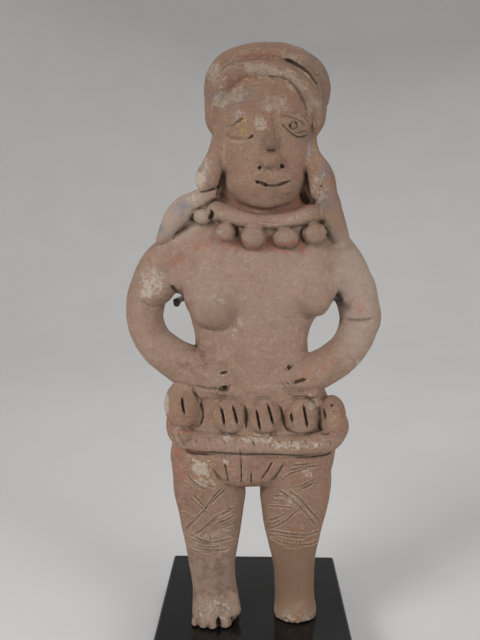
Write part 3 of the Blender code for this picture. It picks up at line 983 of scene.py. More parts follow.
@dataclass
class Hair:
    """The turban of two rolls, and the hair that hangs beside the face and onto the shoulders."""

    core: Rows = (
        (690, -100, 126, -6, 38), (715, -100, 124, -22, 38), (740, -100, 120, -28, 38),
        (770, -86, 116, -28, 38), (800, -70, 96, -28, 40), (850, -64, 96, -26, 42),
        (900, -64, 100, -30, 42), (935, -58, 94, -30, 41), (958, -44, 78, -20, 38),
        (974, -26, 58, -8, 32),
    )
    turban: Rows = (
        (-70, -8, 880, 9), (-72, -8, 903, 10), (-71, -10, 923, 11.5), (-66, -13, 942, 13.5),
        (-54, -16, 955, 15.5), (-35, -18, 964, 17.5), (-11, -18, 968.5, 19), (17, -18, 970.5, 19.5),
        (45, -18, 969.5, 19.5), (69, -18, 963, 19), (90, -16, 952, 18), (105, -13, 938, 15),
        (113, -10, 921, 11), (113, -8, 902, 9),
    )
    fill: Rows = (
        (-60, -28, 915, 14), (-52, -30, 935, 14), (-30, -32, 950, 14), (0, -32, 956, 14),
        (30, -32, 957, 14), (55, -31, 950, 14), (78, -30, 935, 14), (96, -26, 912, 14),
        (104, -22, 888, 12),
    )
    band: Rows = (
        (-64, -30, 892, 12), (-57, -36, 912, 14), (-44, -39, 929, 15), (-24, -41, 941, 16),
        (1, -42, 945, 16), (25, -42, 945, 16), (48, -41, 939, 16), (70, -39, 926, 16),
        (89, -36, 907, 15), (101, -32, 886, 13), (103, -30, 868, 11), (97, -30, 852, 8),
    )
    left: Rows = from_view(
        (-58, -30, 845, 10), (-60, -32, 825, 12), (-64, -34, 806, 15), (-70, -36, 790, 19),
        (-76, -37, 776, 20.5),
    )
    right: Rows = from_view(
        (90, -30, 845, 9), (91, -32, 825, 11), (96, -35, 806, 15), (104, -37, 788, 19),
        (110, -38, 771, 21), (113, -39, 752, 20), (121, -39, 735, 18), (127, -38, 718, 17.5),
        (132, -36, 701, 18), (138, -34, 686, 17), (143, -32, 676, 14),
    )
    side_lobes: Rows = ((-67, -14, 880, 14, 30, 28), (100, -16, 889, 15, 30, 31))
    left_lock: Rows = from_view(
        (-66, -40, 753, 9), (-80, -41, 748, 12.5), (-96, -40, 740, 15.5), (-112, -38, 731, 17),
        (-125, -36, 718, 18), (-137, -34, 702, 15), (-147, -33, 687, 11), (-154, -32, 677, 7),
    )
    left_hole: Rows = from_view((-51, -44, 776, 0.8), (-54, -44, 762, 4), (-56, -44, 750, 6.5))
    right_hole: Rows = from_view(
        (87, -44, 775, 0.8), (85, -44, 763, 3), (81, -44, 752, 8), (86, -44, 743, 8.5),
        (99, -44, 740, 4),
    )
    groove: Line = (
        (42, 960), (55, 957), (66, 951), (78, 944), (89, 935), (98, 925), (105, 914),
    )
    shallow_groove: Line = (
        (-64, 935), (-52, 947), (-36, 955), (-18, 960), (5, 962), (28, 962), (46, 959),
    )
    forehead: Lines = (
        ((38, 932), (50, 928), (61, 919.5), (71, 907), (80, 893), (87, 876)),
        (
            (-53, 878), (-47, 893), (-38, 905), (-26, 916), (-10, 925), (8, 930), (26, 932),
            (40, 931),
        ),
    )
    folds: Lines = (
        ((-60, 912), (-52, 932), (-38, 945), (-22, 951), (-10, 952)),
        ((28, 946), (52, 942), (72, 929), (88, 909)),
        ((42, 972), (53, 976), (67, 981)),
        ((84, 964), (98, 956), (109, 943)),
        ((-70, 896), (-62, 893), (-56, 890)),
        ((94, 871), (97, 861), (95, 850)),
        ((-30, 968), (-10, 973), (14, 975)),
    )
    turban_crust: Rows = (
        (22, 935, 70, 30, 0.4), (-60, 905, 20, 30, 0.5), (95, 900, 20, 45, 0.5),
    )
    lock_pits: Rows = (
        (108, 763, 2, 3), (104, 750, 1.8, 2.5), (120, 779, 1.6, 2), (104, 777, 1.5, 1.6),
    )
    lock_lines: Lines = (
        ((-93, 755), (-78, 756.5), (-64, 760), (-55, 766)),
        ((-62, 747), (-72, 737), (-85, 730), (-98, 725), (-107, 722)),
        ((-108, 702), (-120, 695), (-135, 685), (-151, 675)),
        ((103, 739), (108, 725), (111, 713)),
        ((111, 709), (114, 697), (118, 686), (129, 675)),
    )

    def model(self, clay: Clay) -> None:
        """Lays the turban, lobes and locks."""
        clay.lay(Body(self.core), 6)
        clay.lay(Roll(self.fill, deep=1.3), 5)
        clay.lay(Roll(self.turban, deep=1.7), 4)
        clay.lay(Roll(self.band, deep=1.2), 4)
        clay.heap(6, *self.side_lobes)
        for roll in (self.left, self.right, self.left_lock):
            clay.lay(Roll(roll, deep=0.75), 4)
        for hole in (self.left_hole, self.right_hole):
            clay.lay(Roll(hole, deep=4.5), 1.5, Lay.OUT)
        clay.cut(8, 1.9, self.groove, burr=0.6, taper=12)
        clay.cut(2.6, 2.4, self.shallow_groove, burr=0.4, taper=10)
        clay.cut(2.6, 1.5, *self.forehead[:1], taper=10)
        clay.cut(1.6, 2.2, *self.forehead[1:], burr=0.6, taper=10)
        clay.cut(2, 1.8, *self.folds, burr=0.4, taper=9)
        clay.cut(4.5, 1.9, *self.lock_lines[:1], burr=0.3, taper=8)
        clay.cut(1.6, 1.6, *self.lock_lines[1:], taper=8)
        clay.mark(Pits(self.lock_pits))
        clay.mark(Rough(self.turban_crust, 7, 31))


@dataclass
class Necklace:
    """A roll round the neck with round beads hung under it."""

    roll: Rows = from_view(
        (-69, -36, 722, 10), (-60, -41, 724, 15.5), (-40, -44, 718, 15.5), (-20, -45, 712, 14),
        (0, -46, 709, 12), (20, -46, 707.5, 12.5), (40, -46, 707.5, 13), (60, -45, 710, 13),
        (75, -44, 713.5, 13.5), (88, -43, 718, 15), (101, -41, 719, 14.5), (109, -37, 721, 9),
    )
    under_beads: Lines = (
        ((-22, 688), (-21, 674), (-12, 664), (2, 662), (14, 669)),
        ((31, 676), (38, 668), (52, 664), (66, 667), (73, 676)),
    )
    left_end: Line = ((-72, 728), (-69, 718), (-74, 707))
    between_beads: Line = ((-35, 701), (-28, 692), (-30, 679))
    right_bead_side: Line = ((81, 700), (77.5, 690), (79, 680), (87, 672))
    scratches: Lines = (((-92, 709), (-79, 721)), ((4, 706), (30, 703.5), (46, 704)))
    pits: Rows = ((-101, 711, 2.6, 5), (109, 707, 2.4, 5))
    beads: Rows = from_view(
        (-84, -42, 715, 14, 14, 12.5), (-47, -51, 690, 14.5, 14, 15.5),
        (-1.5, -54, 682, 19.5, 15, 18), (52, -54, 681, 20, 14, 15), (100, -50, 688, 17.5, 15, 17),
    )

    def model(self, clay: Clay) -> None:
        """Lays the roll and its beads and cuts them free."""
        clay.lay(Roll(self.roll), 2.5)
        clay.heap(0.8, *self.beads)
        clay.cut(2.4, 2, *self.under_beads, taper=10)
        clay.cut(10, 2.6, self.left_end, taper=7)
        clay.cut(6, 3, self.between_beads, taper=8)
        clay.cut(4, 1.8, self.right_bead_side, taper=8)
        clay.cut(1.4, 1.3, *self.scratches, taper=6)
        clay.mark(Pits(self.pits))


@dataclass
class Belt:
    """A twisted rope round the hips with slit ovals on it and a small apron tab under it."""

    rope: Rows = (
        (-130, 6, 370, 15), (-136, -14, 362, 16), (-129, -34, 349, 18), (-116, -44, 340, 18.5),
        (-100, -47, 336, 19), (-76, -48, 334, 19.5), (-42, -48, 332, 20), (-4, -49, 331, 20),
        (44, -49, 331, 20.5), (80, -48, 331, 20.5), (110, -46, 334, 20), (130, -42, 341, 20),
        (144, -28, 352, 19), (149, -8, 361, 17), (142, 8, 370, 16),
    )
    back_rope: Rows = (
        (-130, 6, 376, 15), (-112, 26, 378, 15), (-40, 30, 380, 14), (44, 30, 380, 14),
        (114, 26, 378, 15), (140, 8, 374, 16),
    )
    core: Rows = from_view(
        (-112, -30, 384, 26), (-60, -33, 382, 28), (0, -34, 381, 28), (122, -30, 382, 28),
    )
    upper_band: Rows = from_view(
        (-96, -38, 421, 10), (-50, -39, 424, 12), (0, -39, 426, 12), (100, -38, 424, 10),
    )
    ovals: Rows = from_view(
        (-120, -38, 399, 31, 25, 42), (-41, -46, 381, 28, 19, 31.5), (19, -47, 380, 29, 19, 32),
        (81, -46, 381, 28.5, 19, 31.5), (133, -34, 380, 24, 28, 38),
    )
    slots: Lines = (
        ((-121, 416), (-120.5, 400), (-116.5, 380)),
        ((-57, 399), (-53, 384), (-49, 361)),
        ((-36, 402), (-31, 385), (-26, 362)),
        ((3, 395), (6, 380), (9, 366), (12, 352)),
        ((23, 404), (28, 390), (34.5, 363)),
        ((64, 391), (63.5, 379), (67, 367)),
        ((84, 403), (87, 388), (92.5, 358)),
        ((117, 399), (119, 388), (121.5, 373)),
    )
    borders: Lines = (
        ((-106, 433), (-101, 424), (-93, 408), (-88, 395), (-86, 380), (-90, 366), (-98, 357)),
        ((-20, 406), (-14, 395), (-12, 380), (-12.5, 364), (-9, 351)),
        ((41, 404), (47, 391), (50, 378), (54, 363), (62, 355), (71, 352)),
        ((113, 376), (111.5, 365), (116, 355), (123, 351), (137, 353)),
    )
    soft_borders: Lines = (
        ((-98, 357), (-112, 356), (-126, 361), (-134, 368)),
        ((-63, 352), (-40, 349), (-16, 349)),
        ((-10, 349), (12, 347), (34, 350), (48, 356)),
        ((76, 351), (94, 352), (106, 358), (111, 368)),
        ((104, 407), (111, 396), (113, 384)),
        ((-74, 395), (-62, 408), (-42, 413), (-24, 409)),
        ((-6, 402), (6, 410), (24, 413), (38, 408)),
        ((60, 405), (72, 412), (90, 412), (103, 406)),
    )
    nicks: Lines = (
        ((-77, 347), (-72, 335)),
        ((-129, 354), (-124, 338), (-117, 322)),
        ((-139, 350), (-133, 332)),
        ((-24, 322), (-21, 311)),
        ((27, 334), (30.5, 325)),
        ((41, 343), (44, 336), (47.5, 330)),
        ((63, 344), (67, 332)),
        ((85, 344), (92, 329)),
        ((111, 338), (115, 325)),
        ((129, 342), (134, 326)),
        ((-100, 343), (-94, 328)),
        ((-52, 341), (-47, 328)),
        ((-2, 342), (3, 326)),
    )
    under_rope: Line = (
        (-120, 323), (-108, 317), (-95, 314.5), (-70, 313.5), (-40, 312.5), (-10, 311), (20, 311.5),
        (50, 310.5), (80, 309.5), (105, 311.5), (125, 315), (139, 320),
    )
    bead_holes: Rows = ((131.5, 401, 2.6, 5), (136.5, 390, 2.6, 2.5))
    crust: Rows = ((10, 341, 34, 9, 1.2), (-46, 342, 12, 8, 1.3), (90, 412, 16, 12, 1.0))
    tab: Rows = from_view((-42, -42, 277, 18), (-10, -43, 275.5, 19), (22, -42, 279, 17))
    tab_top: tuple[float, ...] = (-12, -40, 303, 57, 17, 34)
    tab_lines: Lines = (
        ((-50, 300), (-47, 283), (-42, 258)),
        ((-22, 312), (-21, 290), (-20.5, 256)),
        ((-4, 284), (-3, 256)),
        ((35, 304), (25, 286), (12, 266)),
        ((9, 292), (5, 283)),
    )
    tab_sides: Lines = (
        ((-72, 298), (-68, 284), (-58, 269), (-45, 257)),
        ((56, 303), (45, 284), (34, 269), (23, 258)),
    )

    def model(self, clay: Clay) -> None:
        """Lays the tab, rope and ovals and cuts their lines."""
        clay.lay(Roll(self.tab, deep=0.95), 3)
        clay.heap(5, self.tab_top)
        clay.lay(Roll(self.core, deep=0.5), 5)
        clay.lay(Roll(self.upper_band, deep=0.9), 6)
        clay.lay(Roll(self.rope), 4)
        clay.lay(Roll(self.back_rope), 4)
        clay.heap(1.5, *self.ovals)
        clay.cut(6, 2.2, self.under_rope, taper=10)
        clay.cut(9, 1.9, *self.slots, burr=0.7, taper=9)
        clay.cut(4, 1.8, *self.borders, taper=14)
        clay.cut(1.7, 2.2, *self.soft_borders, taper=12)
        clay.cut(2.6, 1.7, *self.nicks, burr=0.5, taper=5)
        clay.cut(4, 1.4, *self.tab_lines, burr=0.4, taper=8)
        clay.cut(3.5, 2.4, *self.tab_sides, taper=12)
        clay.mark(Pits(self.bead_holes))
        clay.mark(Rough(self.crust, 5, 41))


@dataclass(frozen=True)
class Tint:
    """Where a tint lies on the clay.

    The rows are patches, placed as they are seen: x, z, half width, half height, strength and lean
    in degrees. A value below 0 everywhere keeps the tint's specks off the bare clay.
    """

    name: str
    everywhere: float
    rows: Rows
    before_y: float = -4.0
    fade: float = 12.0
    at_edge: float = 0.35

    def amount(self, places: Array) -> Array:
        """How much of the tint there is at each place, from 0 to 1.

        Args:
            places: rows of x, y, z in shares.

        Returns:
            One amount for each row.
        """
        x, z = seen(places)
        total = np.full(len(places), self.everywhere)
        front = np.clip((self.before_y - places[:, 1]) / self.fade + self.at_edge, 0.0, 1)
        for middle_x, middle_z, half_x, half_z, strength, lean in self.rows:
            turn = math.radians(lean)
            dx, dz = x - middle_x, z - middle_z
            along = (dx * math.cos(turn) + dz * math.sin(turn)) / half_x
            across = (dz * math.cos(turn) - dx * math.sin(turn)) / half_z
            part = np.clip(TINT_REACH - np.hypot(along, across), 0, 1)
            cover = front * part**2 * (3 - 2 * part)
            total = np.maximum(total, self.everywhere + (strength - self.everywhere) * cover)
        return total


CREAM = Tint("cream", -0.3, (
    (-66, 942, 16, 26, 0.62, 20), (-52, 899, 20, 12, 0.85, 25), (10, 944, 34, 12, 0.8, -6),
    (62, 925, 26, 14, 0.72, -45), (88, 893, 10, 18, 0.85, 0), (30, 893, 26, 16, 0.62, 0),
    (-30, 905, 20, 14, 0.55, 30), (-22, 874, 16, 10, 0.5, -30), (10, 862, 16, 12, 0.6, -40),
    (-90, 775, 14, 14, 0.9, 0), (-80, 800, 10, 14, 0.6, 0), (-98, 745, 16, 8, 0.5, 20),
    (-166, 608, 26, 26, 0.64, 0), (-178, 588, 14, 8, 0.9, 0), (-150, 408, 7, 30, 0.9, 0),
    (-47, 345, 9, 8, 0.9, 0), (8, 341, 34, 9, 0.72, 0), (-92, 287, 18, 13, 0.9, -35),
    (-70, 263, 10, 5, 0.7, -40), (-48, 300, 8, 5, 0.7, -40), (104, 760, 18, 30, 0.45, 0),
    (118, 690, 10, 16, 0.5, 0), (140, 668, 12, 7, 0.7, 0), (-35, 524, 20, 5, 0.5, 30),
    (-22, 545, 8, 16, 0.5, 20), (180, 470, 10, 16, 0.6, 40), (78, 905, 6, 30, 0.5, 30),
    (-60, 690, 12, 5, 0.4, 0), (100, 900, 10, 26, 0.5, 0), (60, 962, 30, 8, 0.5, -20),
    (92, 280, 12, 8, 0.6, -40), (100, 400, 12, 10, 0.5, 0), (-60, 577, 20, 12, 0.42, 0),
    (70, 330, 60, 10, 0.42, 0), (-150, 560, 8, 10, 0.5, 0), (-70, 26, 44, 30, 0.36, 0),
    (-88, 262, 18, 8, 0.6, -30), (60, 236, 30, 14, 0.4, -40), (-60, 170, 40, 8, 0.35, 20),
))
GREY = Tint("grey", -0.3, (
    (84, 955, 26, 16, 0.62, -35), (106, 915, 12, 34, 0.68, 0), (106, 880, 10, 18, 0.6, 0),
    (-76, 925, 10, 30, 0.5, 0), (-62, 905, 14, 14, 0.5, 0), (-38, 893, 16, 12, 0.66, 35),
    (-8, 905, 30, 16, 0.42, 0), (-20, 870, 22, 10, 0.5, -20), (-88, 790, 12, 20, 0.5, 0),
    (-120, 728, 26, 12, 0.62, 40), (-148, 690, 10, 22, 0.62, 35), (118, 735, 14, 20, 0.6, 0),
    (88, 830, 7, 30, 0.55, 0), (110, 790, 16, 20, 0.35, 0), (136, 690, 12, 20, 0.4, 0),
    (-186, 600, 10, 40, 0.3, 0), (50, 790, 24, 12, 0.25, 0), (-100, 860, 60, 60, 0.0, 0),
))
RED = Tint("red", -0.2, (
    (-44, 742, 14, 10, 0.7, -40), (-20, 733, 28, 8, 1.0, -20), (20, 727, 34, 6, 0.8, 0),
    (58, 732, 28, 9, 1.0, 15), (84, 738, 12, 10, 0.6, 0), (-25, 672, 14, 8, 1.0, 0),
    (-48, 675, 22, 8, 0.75, 0), (25, 672, 14, 10, 1.0, 0), (0, 662, 26, 7, 0.85, 0),
    (75, 672, 16, 8, 0.85, 0), (60, 664, 50, 9, 0.65, 0), (-80, 672, 30, 9, 0.55, 20),
    (8, 964, 36, 6, 1.0, 0), (28, 952, 24, 6, 0.4, 0), (20, 880, 6, 24, 0.65, 10),
    (-5, 888, 18, 12, 0.5, 0), (-134, 318, 14, 10, 0.7, -30), (-132, 292, 10, 22, 0.66, 10),
    (-100, 318, 26, 5, 0.6, 0), (78, 172, 16, 9, 0.55, 0), (88, 158, 22, 7, 0.45, 0),
    (120, 345, 26, 6, 0.5, 20), (146, 372, 8, 24, 0.4, 0), (-110, 352, 16, 5, 0.5, 0),
    (124, 775, 8, 12, 0.6, 0), (-20, 925, 26, 12, 0.45, 10), (60, 905, 20, 12, 0.45, -40),
    (92, 905, 8, 14, 0.5, 0), (-128, 640, 26, 12, 0.3, 0), (170, 560, 20, 20, 0.25, 0),
    (-60, 905, 10, 8, 0.6, 0), (64, 790, 20, 24, 0.25, 0), (-110, 535, 8, 34, 0.35, 0),
    (100, 460, 30, 12, 0.3, 20), (-120, 280, 8, 20, 0.5, 0), (122, 240, 6, 60, 0.35, 0),
    (90, 20, 20, 20, 0.3, 0),
))
OCHRE = Tint("ochre", -0.2, (
    (-30, 866, 8, 4, 0.5, 0), (78, 84, 60, 84, 0.75, 0), (74, 10, 44, 30, 0.75, 0),
    (80, 130, 40, 30, 0.5, 0), (36, 945, 60, 26, 0.22, 0), (-20, 430, 60, 10, 0.3, 0),
    (30, 345, 60, 16, 0.4, 0), (-80, 275, 30, 30, 0.35, 0), (-110, 400, 16, 30, 0.3, 0),
))
YELLOW = Tint("yellow", -0.3, ((-18, 869, 6, 4.5, 1.2, 0), (-18, 850, 5, 6.5, 1.2, 0)))
# Pale tone and painted light: lightens the chest, arms, belly, belt and feet, and lifts the shadowed
# left lock and hair.
PALE_TONE_AND_PAINTED_LIGHT = Tint("pale_tone_and_painted_light", 0.0, (
    (0, 610, 200, 120, 0.5, 0), (172, 600, 50, 140, 0.9, 0), (-165, 540, 60, 100, 0.3, 0),
    (-70, 60, 70, 120, 0.5, 0), (76, 6, 60, 34, 1.0, 0), (0, 470, 150, 60, 0.3, 0),
    (-120, 720, 60, 46, 1.0, 35), (76, 0, 60, 40, 0.6, 0), (-90, 790, 30, 40, 0.35, 0),
    (130, 730, 30, 60, 0.3, 0), (0, 340, 160, 30, 0.25, 0),
))
SHADE = Tint("shade", 0.0, (
    (10, 930, 130, 70, 0.8, 0), (90, 900, 50, 90, 0.9, 0), (24, 748, 60, 30, 0.9, 0),
    (20, 820, 90, 80, 0.45, 0), (78, 110, 60, 76, 0.95, 0), (-70, 120, 50, 60, 0.3, 0),
    (0, 220, 150, 70, 0.4, 0), (20, 735, 90, 14, 0.8, 0), (-62, 548, 62, 30, 0.4, 10),
    (96, 560, 44, 24, 0.35, 0), (106, 930, 40, 70, 1.0, 0), (128, 730, 40, 80, 0.75, 0),
    (-60, 900, 40, 60, 0.6, 0), (30, 675, 110, 16, 0.4, 0),
))
# Brown stain on the nose and chin, and painted shade under the chin and hands, in the turban's grooves
# and on the left shin and foot.
DARK = Tint("dark", -0.15, (
    (23, 834, 15, 20, 0.95, 0), (26, 870, 6, 18, 0.55, 0), (22, 748, 30, 8, 0.7, 0),
    (-117, 338, 16, 10, 0.72, 0), (22, 735, 40, 8, 0.4, 0), (25, 800, 24, 12, 0.45, 0),
    (-150, 930, 60, 60, 0.0, 0), (-70, 120, 40, 50, 0.42, 0), (-60, 40, 50, 40, 0.4, 0),
    (-106, 478, 40, 30, 0.25, 0), (-40, 420, 40, 8, 0.45, 0), (40, 425, 50, 8, 0.35, 0),
    (22, 755, 36, 10, 0.35, 0), (62, 857, 22, 12, 0.35, 0), (70, 945, 34, 6, 0.5, -28),
    (-40, 936, 22, 8, 0.4, 30),
))


@dataclass
class PotteryFigure:
    """The fired figure, one solid of clay."""

    trunk: Trunk = field(default_factory=Trunk)
    legs: Legs = field(default_factory=Legs)
    arms: Arms = field(default_factory=Arms)
    head: Head = field(default_factory=Head)
    hair: Hair = field(default_factory=Hair)
    necklace: Necklace = field(default_factory=Necklace)
    belt: Belt = field(default_factory=Belt)
    tints: tuple[Tint, ...] = (CREAM, GREY, RED, OCHRE, YELLOW, PALE_TONE_AND_PAINTED_LIGHT, DARK, SHADE)
    left_wire_room: Rows = (
        (-95, 55, 566, 7.2), (-128, 34, 572, 7.2), (-128, -46, 572, 7.2), (-128, -53, 579, 7.2),
    )
    right_wire_room: Rows = (
        (102, 55, 568, 7.2), (141, 34, 574, 7.2), (141, -46, 574, 7.2), (141, -53, 581, 7.2),
    )
    lumps: tuple[Lumps, ...] = (Lumps(34, 1.3, 3), Lumps(13, 0.5, 4))

    def model(self) -> Clay:
        """Puts the clay together, as the potter did.

        Returns:
            The clay, ready to be meshed.
        """
        clay = Clay()
        for part in (self.trunk, self.legs, self.arms, self.head, self.hair, self.necklace, self.belt):
            part.model(clay)
        for room in (self.left_wire_room, self.right_wire_room):
            clay.lay(Roll(room), 1, Lay.OUT)
        clay.lumps += self.lumps
        return clay

    def build(self) -> bpy.types.Object:
        """Meshes the clay as one piece that stands for the plain solid.

        Returns:
            The figure, dressed and riding on the only body.
        """
        clay = self.model()
        skin = Skin(clay)
        places, faces = skin.mesh()
        mesh = bpy.data.meshes.new("fired_figure")
        mesh.from_pydata(to_metres(places), [], faces)
        mesh.update()
        mesh.shade_smooth()
        figure = bpy.data.objects.new("fired_figure", mesh)
        bpy.context.scene.collection.objects.link(figure)
        self.note_hollows(clay, places, mesh)
        mesh.materials.append(FiredClay().material())
        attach(figure, "root")
        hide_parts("figure")
        return figure

    def note_hollows(self, clay: Clay, places: Array, mesh: bpy.types.Mesh) -> None:
        """Notes on the mesh how deep in a crease, how hollow and how tinted each place is.

        Args:
            clay: the clay.
            places: the mesh's places in shares.
            mesh: the mesh, which gets the amounts as attributes.
        """
        facing = np.zeros(len(places) * 3, np.float32)
        mesh.vertex_normals.foreach_get("vector", facing)
        facing = facing.reshape(-1, 3)
        steep = np.clip(np.linalg.norm(clay.slope(places, clay.value(places)), axis=1), 0.5, 1.5)
        notes = {}
        # The crease and hollow amounts later darken the colour: the crease's as dirt and painted
        # shade, the hollow's as painted shade.
        for name, reach in (("crease", 3.5), ("hollow", 13.0)):
            open_way = (clay.value(places + facing * reach) / steep + clay.unevenness(places)) / reach
            notes[name] = np.clip(1 - open_way, -0.5, 2.5)
        for tint in self.tints:
            notes[tint.name] = tint.amount(places)
        for name, values in notes.items():
            attribute = mesh.attributes.new(name, "FLOAT", "POINT")
            attribute.data.foreach_set("value", values.astype(np.float32))


@dataclass(frozen=True)
class Socket:
    """A number that varies over a surface. Its operators add Math nodes."""

    recipe: "Recipe"
    link: bpy.types.NodeSocket

    def maths(self, operation: str, *values: "Socket | float") -> "Socket":
        """The result of one Math node on the values."""
        node = self.recipe.node("ShaderNodeMath", {"operation": operation}, dict(enumerate(values)))
        return self.recipe.out(node, "Value")

    def __add__(self, other: "Socket | float") -> "Socket":
        """This plus the other."""
        return self.maths("ADD", self, other)

    def __radd__(self, other: float) -> "Socket":
        """The other plus this."""
        return self.maths("ADD", other, self)

    def __sub__(self, other: "Socket | float") -> "Socket":
        """This less the other."""
        return self.maths("SUBTRACT", self, other)

    def __rsub__(self, other: float) -> "Socket":
        """The other less this."""
        return self.maths("SUBTRACT", other, self)

    def __mul__(self, other: "Socket | float") -> "Socket":
        """This times the other."""
        return self.maths("MULTIPLY", self, other)

    def __rmul__(self, other: float) -> "Socket":
        """The other times this."""
        return self.maths("MULTIPLY", other, self)

    def ramp(self, low: float, high: float) -> "Socket":
        """Rises softly from 0 at low to 1 at high, or falls where low is above high."""
        settings = {"interpolation_type": "SMOOTHSTEP"}
        ends = (0.0, 1.0) if low < high else (1.0, 0.0)
        inputs = {"Value": self, "From Min": min(low, high), "From Max": max(low, high)}
        inputs |= {"To Min": ends[0], "To Max": ends[1]}
        return self.recipe.out(self.recipe.node("ShaderNodeMapRange", settings, inputs), "Result")


class Recipe:
    """The node tree of one material."""

    def __init__(self, name: str, roughness: float, metallic: float = 0.0) -> None:
        """Starts a material with a Principled shader.

        Args:
            name: the material's name.
            roughness: the shader's own roughness.
            metallic: the shader's own metallic value.
        """
        self.material = bpy.data.materials.new(name)
        self.material.use_nodes = True
        self.tree = self.material.node_tree
        self.shader = self.tree.nodes["Principled BSDF"]
        self.shader.inputs["Roughness"].default_value = roughness
        self.shader.inputs["Metallic"].default_value = metallic
        coordinates = self.node("ShaderNodeTexCoord")
        scale = self.node(
            "ShaderNodeVectorMath",
            {"operation": "MULTIPLY"},
            {0: self.out(coordinates, "Object"), 1: (1 / MM, 1 / MM, 1 / MM)},
        )
        self.spot = self.out(scale, "Vector")

    def node(
        self, kind: str, settings: dict | None = None, inputs: dict | None = None
    ) -> bpy.types.Node:
        """Adds a node.

        Args:
            kind: the node's type.
            settings: its own settings, which are set first.
            inputs: the value or link of each socket, by its name or number.

        Returns:
            The node.
        """
        node = self.tree.nodes.new(kind)
        for name, value in (settings or {}).items():
            setattr(node, name, value)
        for name, value in (inputs or {}).items():
            if isinstance(value, Socket):
                self.tree.links.new(value.link, node.inputs[name])
            else:
                node.inputs[name].default_value = value
        return node

    def out(self, node: bpy.types.Node, name: str | int) -> Socket:
        """One output of a node."""
        return Socket(self, node.outputs[name])

    def noise(self, size: float, detail: float = 3.0, rough: float = 0.5) -> Socket:
        """Noise with patches of about the size, in millimetres, around 0.5."""
        inputs = {"Vector": self.spot, "Scale": 1 / size, "Detail": detail, "Roughness": rough}
        return self.out(self.node("ShaderNodeTexNoise", None, inputs), "Fac")

    def attribute(self, name: str) -> Socket:
        """A value noted on the mesh."""
        return self.out(self.node("ShaderNodeAttribute", {"attribute_name": name}), "Fac")

    def mix(self, amount: "Socket | float", a: "Socket | tuple", b: "Socket | tuple") -> Socket:
        """A colour between two colours."""
        a = a if isinstance(a, Socket) else (*a, 1.0)
        b = b if isinstance(b, Socket) else (*b, 1.0)
        node = self.node("ShaderNodeMix", {"data_type": "RGBA"}, {0: amount, 6: a, 7: b})
        return self.out(node, 2)

    def feed(self, name: str, value: Socket) -> None:
        """Links a varying value to the shader."""
        self.tree.links.new(value.link, self.shader.inputs[name])

    def bump(self, height: Socket, strength: float, distance: float) -> None:
        """Raises the surface by the height, for a distance in metres."""
        inputs = {"Strength": strength, "Distance": distance, "Height": height}
        self.feed("Normal", self.out(self.node("ShaderNodeBump", None, inputs), "Normal"))


@dataclass(frozen=True)
class FiredClay:
    """Unglazed fired clay, matte and grainy, with deposits, pigment and dirt, painted shade in its
    creases, hollows and shaded patches, and painted light on some pale patches.
    """

    tan: Colour = (0.38, 0.235, 0.16)
    rosy: Colour = (0.375, 0.21, 0.15)
    brown: Colour = (0.225, 0.135, 0.09)
    pale: Colour = (0.54, 0.41, 0.32)
    dirt_and_painted_shade: Colour = (0.085, 0.052, 0.035)
    cream: Colour = (0.6, 0.53, 0.44)
    grey: Colour = (0.2, 0.215, 0.25)
    red: Colour = (0.43, 0.125, 0.075)
    ochre: Colour = (0.33, 0.2, 0.085)
    yellow: Colour = (0.5, 0.32, 0.03)
    pale_tone_and_painted_light: Colour = (0.52, 0.44, 0.38)
    dark: Colour = (0.17, 0.105, 0.075)
    scratch: Colour = (0.66, 0.52, 0.37)

    def material(self) -> bpy.types.Material:
        """Makes the material.

        Returns:
            The material.
        """
        recipe = Recipe("fired_clay", 0.88)
        broad = recipe.noise(20, 3, 0.6).ramp(0.38, 0.64)
        patch = recipe.noise(5, 4, 0.65).ramp(0.36, 0.66)
        fine = recipe.noise(1.5, 4, 0.7)
        grain = recipe.noise(0.55, 3, 0.75)
        ragged = recipe.noise(4.2, 5, 0.66).ramp(0.34, 0.66)
        crumbs = recipe.noise(1.1, 5, 0.72).ramp(0.36, 0.64)
        colour = recipe.mix(broad, self.tan, self.rosy)
        colour = recipe.mix(0.45 * patch, colour, self.brown)
        colour = recipe.mix(0.45 * fine.ramp(0.5, 0.68), colour, self.pale)
        colour = recipe.mix(0.8 * grain.ramp(0.5, 0.36), colour, self.brown)
        # Pale tone and painted light, mixed in over the pale patches.
        colour = recipe.mix(0.5 * recipe.attribute("pale_tone_and_painted_light"), colour, self.pale_tone_and_painted_light)
        # The dark layer is partly brown stain and partly painted shade.
        layers = (
            ("dark", self.dark, ragged, 0.4, 0.7), ("red", self.red, ragged, 0.5, 0.58),
            ("ochre", self.ochre, ragged, 0.5, 0.55), ("grey", self.grey, ragged, 0.45, 0.62),
            ("yellow", self.yellow, crumbs, 0.4, 0.8),
            ("cream", self.cream, 0.6 * crumbs + 0.4 * ragged, 0.3, 0.72),
        )
        for name, tint, speck, edge, most in layers:
            cover = (recipe.attribute(name) + speck - 1.0).ramp(-edge, edge)
            colour = recipe.mix(most * cover, colour, tint)
        colour = recipe.mix(0.7 * recipe.attribute("shade"), colour, self.brown)
        crease = recipe.attribute("crease")
        hollow = recipe.attribute("hollow").ramp(0.3, 1.1)
        colour = recipe.mix(0.3 * (crease.ramp(0.1, 0.3) * crumbs), colour, self.scratch)
        colour = recipe.mix(0.55 * crease.ramp(-0.06, -0.28), colour, self.scratch)
        # Painted shade, with some real dirt, darkens the creases; painted shade alone darkens the
        # hollows.
        colour = recipe.mix(0.85 * crease.ramp(0.25, 1.4), colour, self.dirt_and_painted_shade)
        colour = recipe.mix(0.4 * hollow, colour, self.dirt_and_painted_shade)
        recipe.feed("Base Color", colour)
        recipe.feed("Roughness", 0.82 + 0.12 * fine)
        relief = grain * 0.9 + fine * 1.8 + crumbs * 0.25
        recipe.bump(relief, 0.9, 0.35 * MM)
        return recipe.material


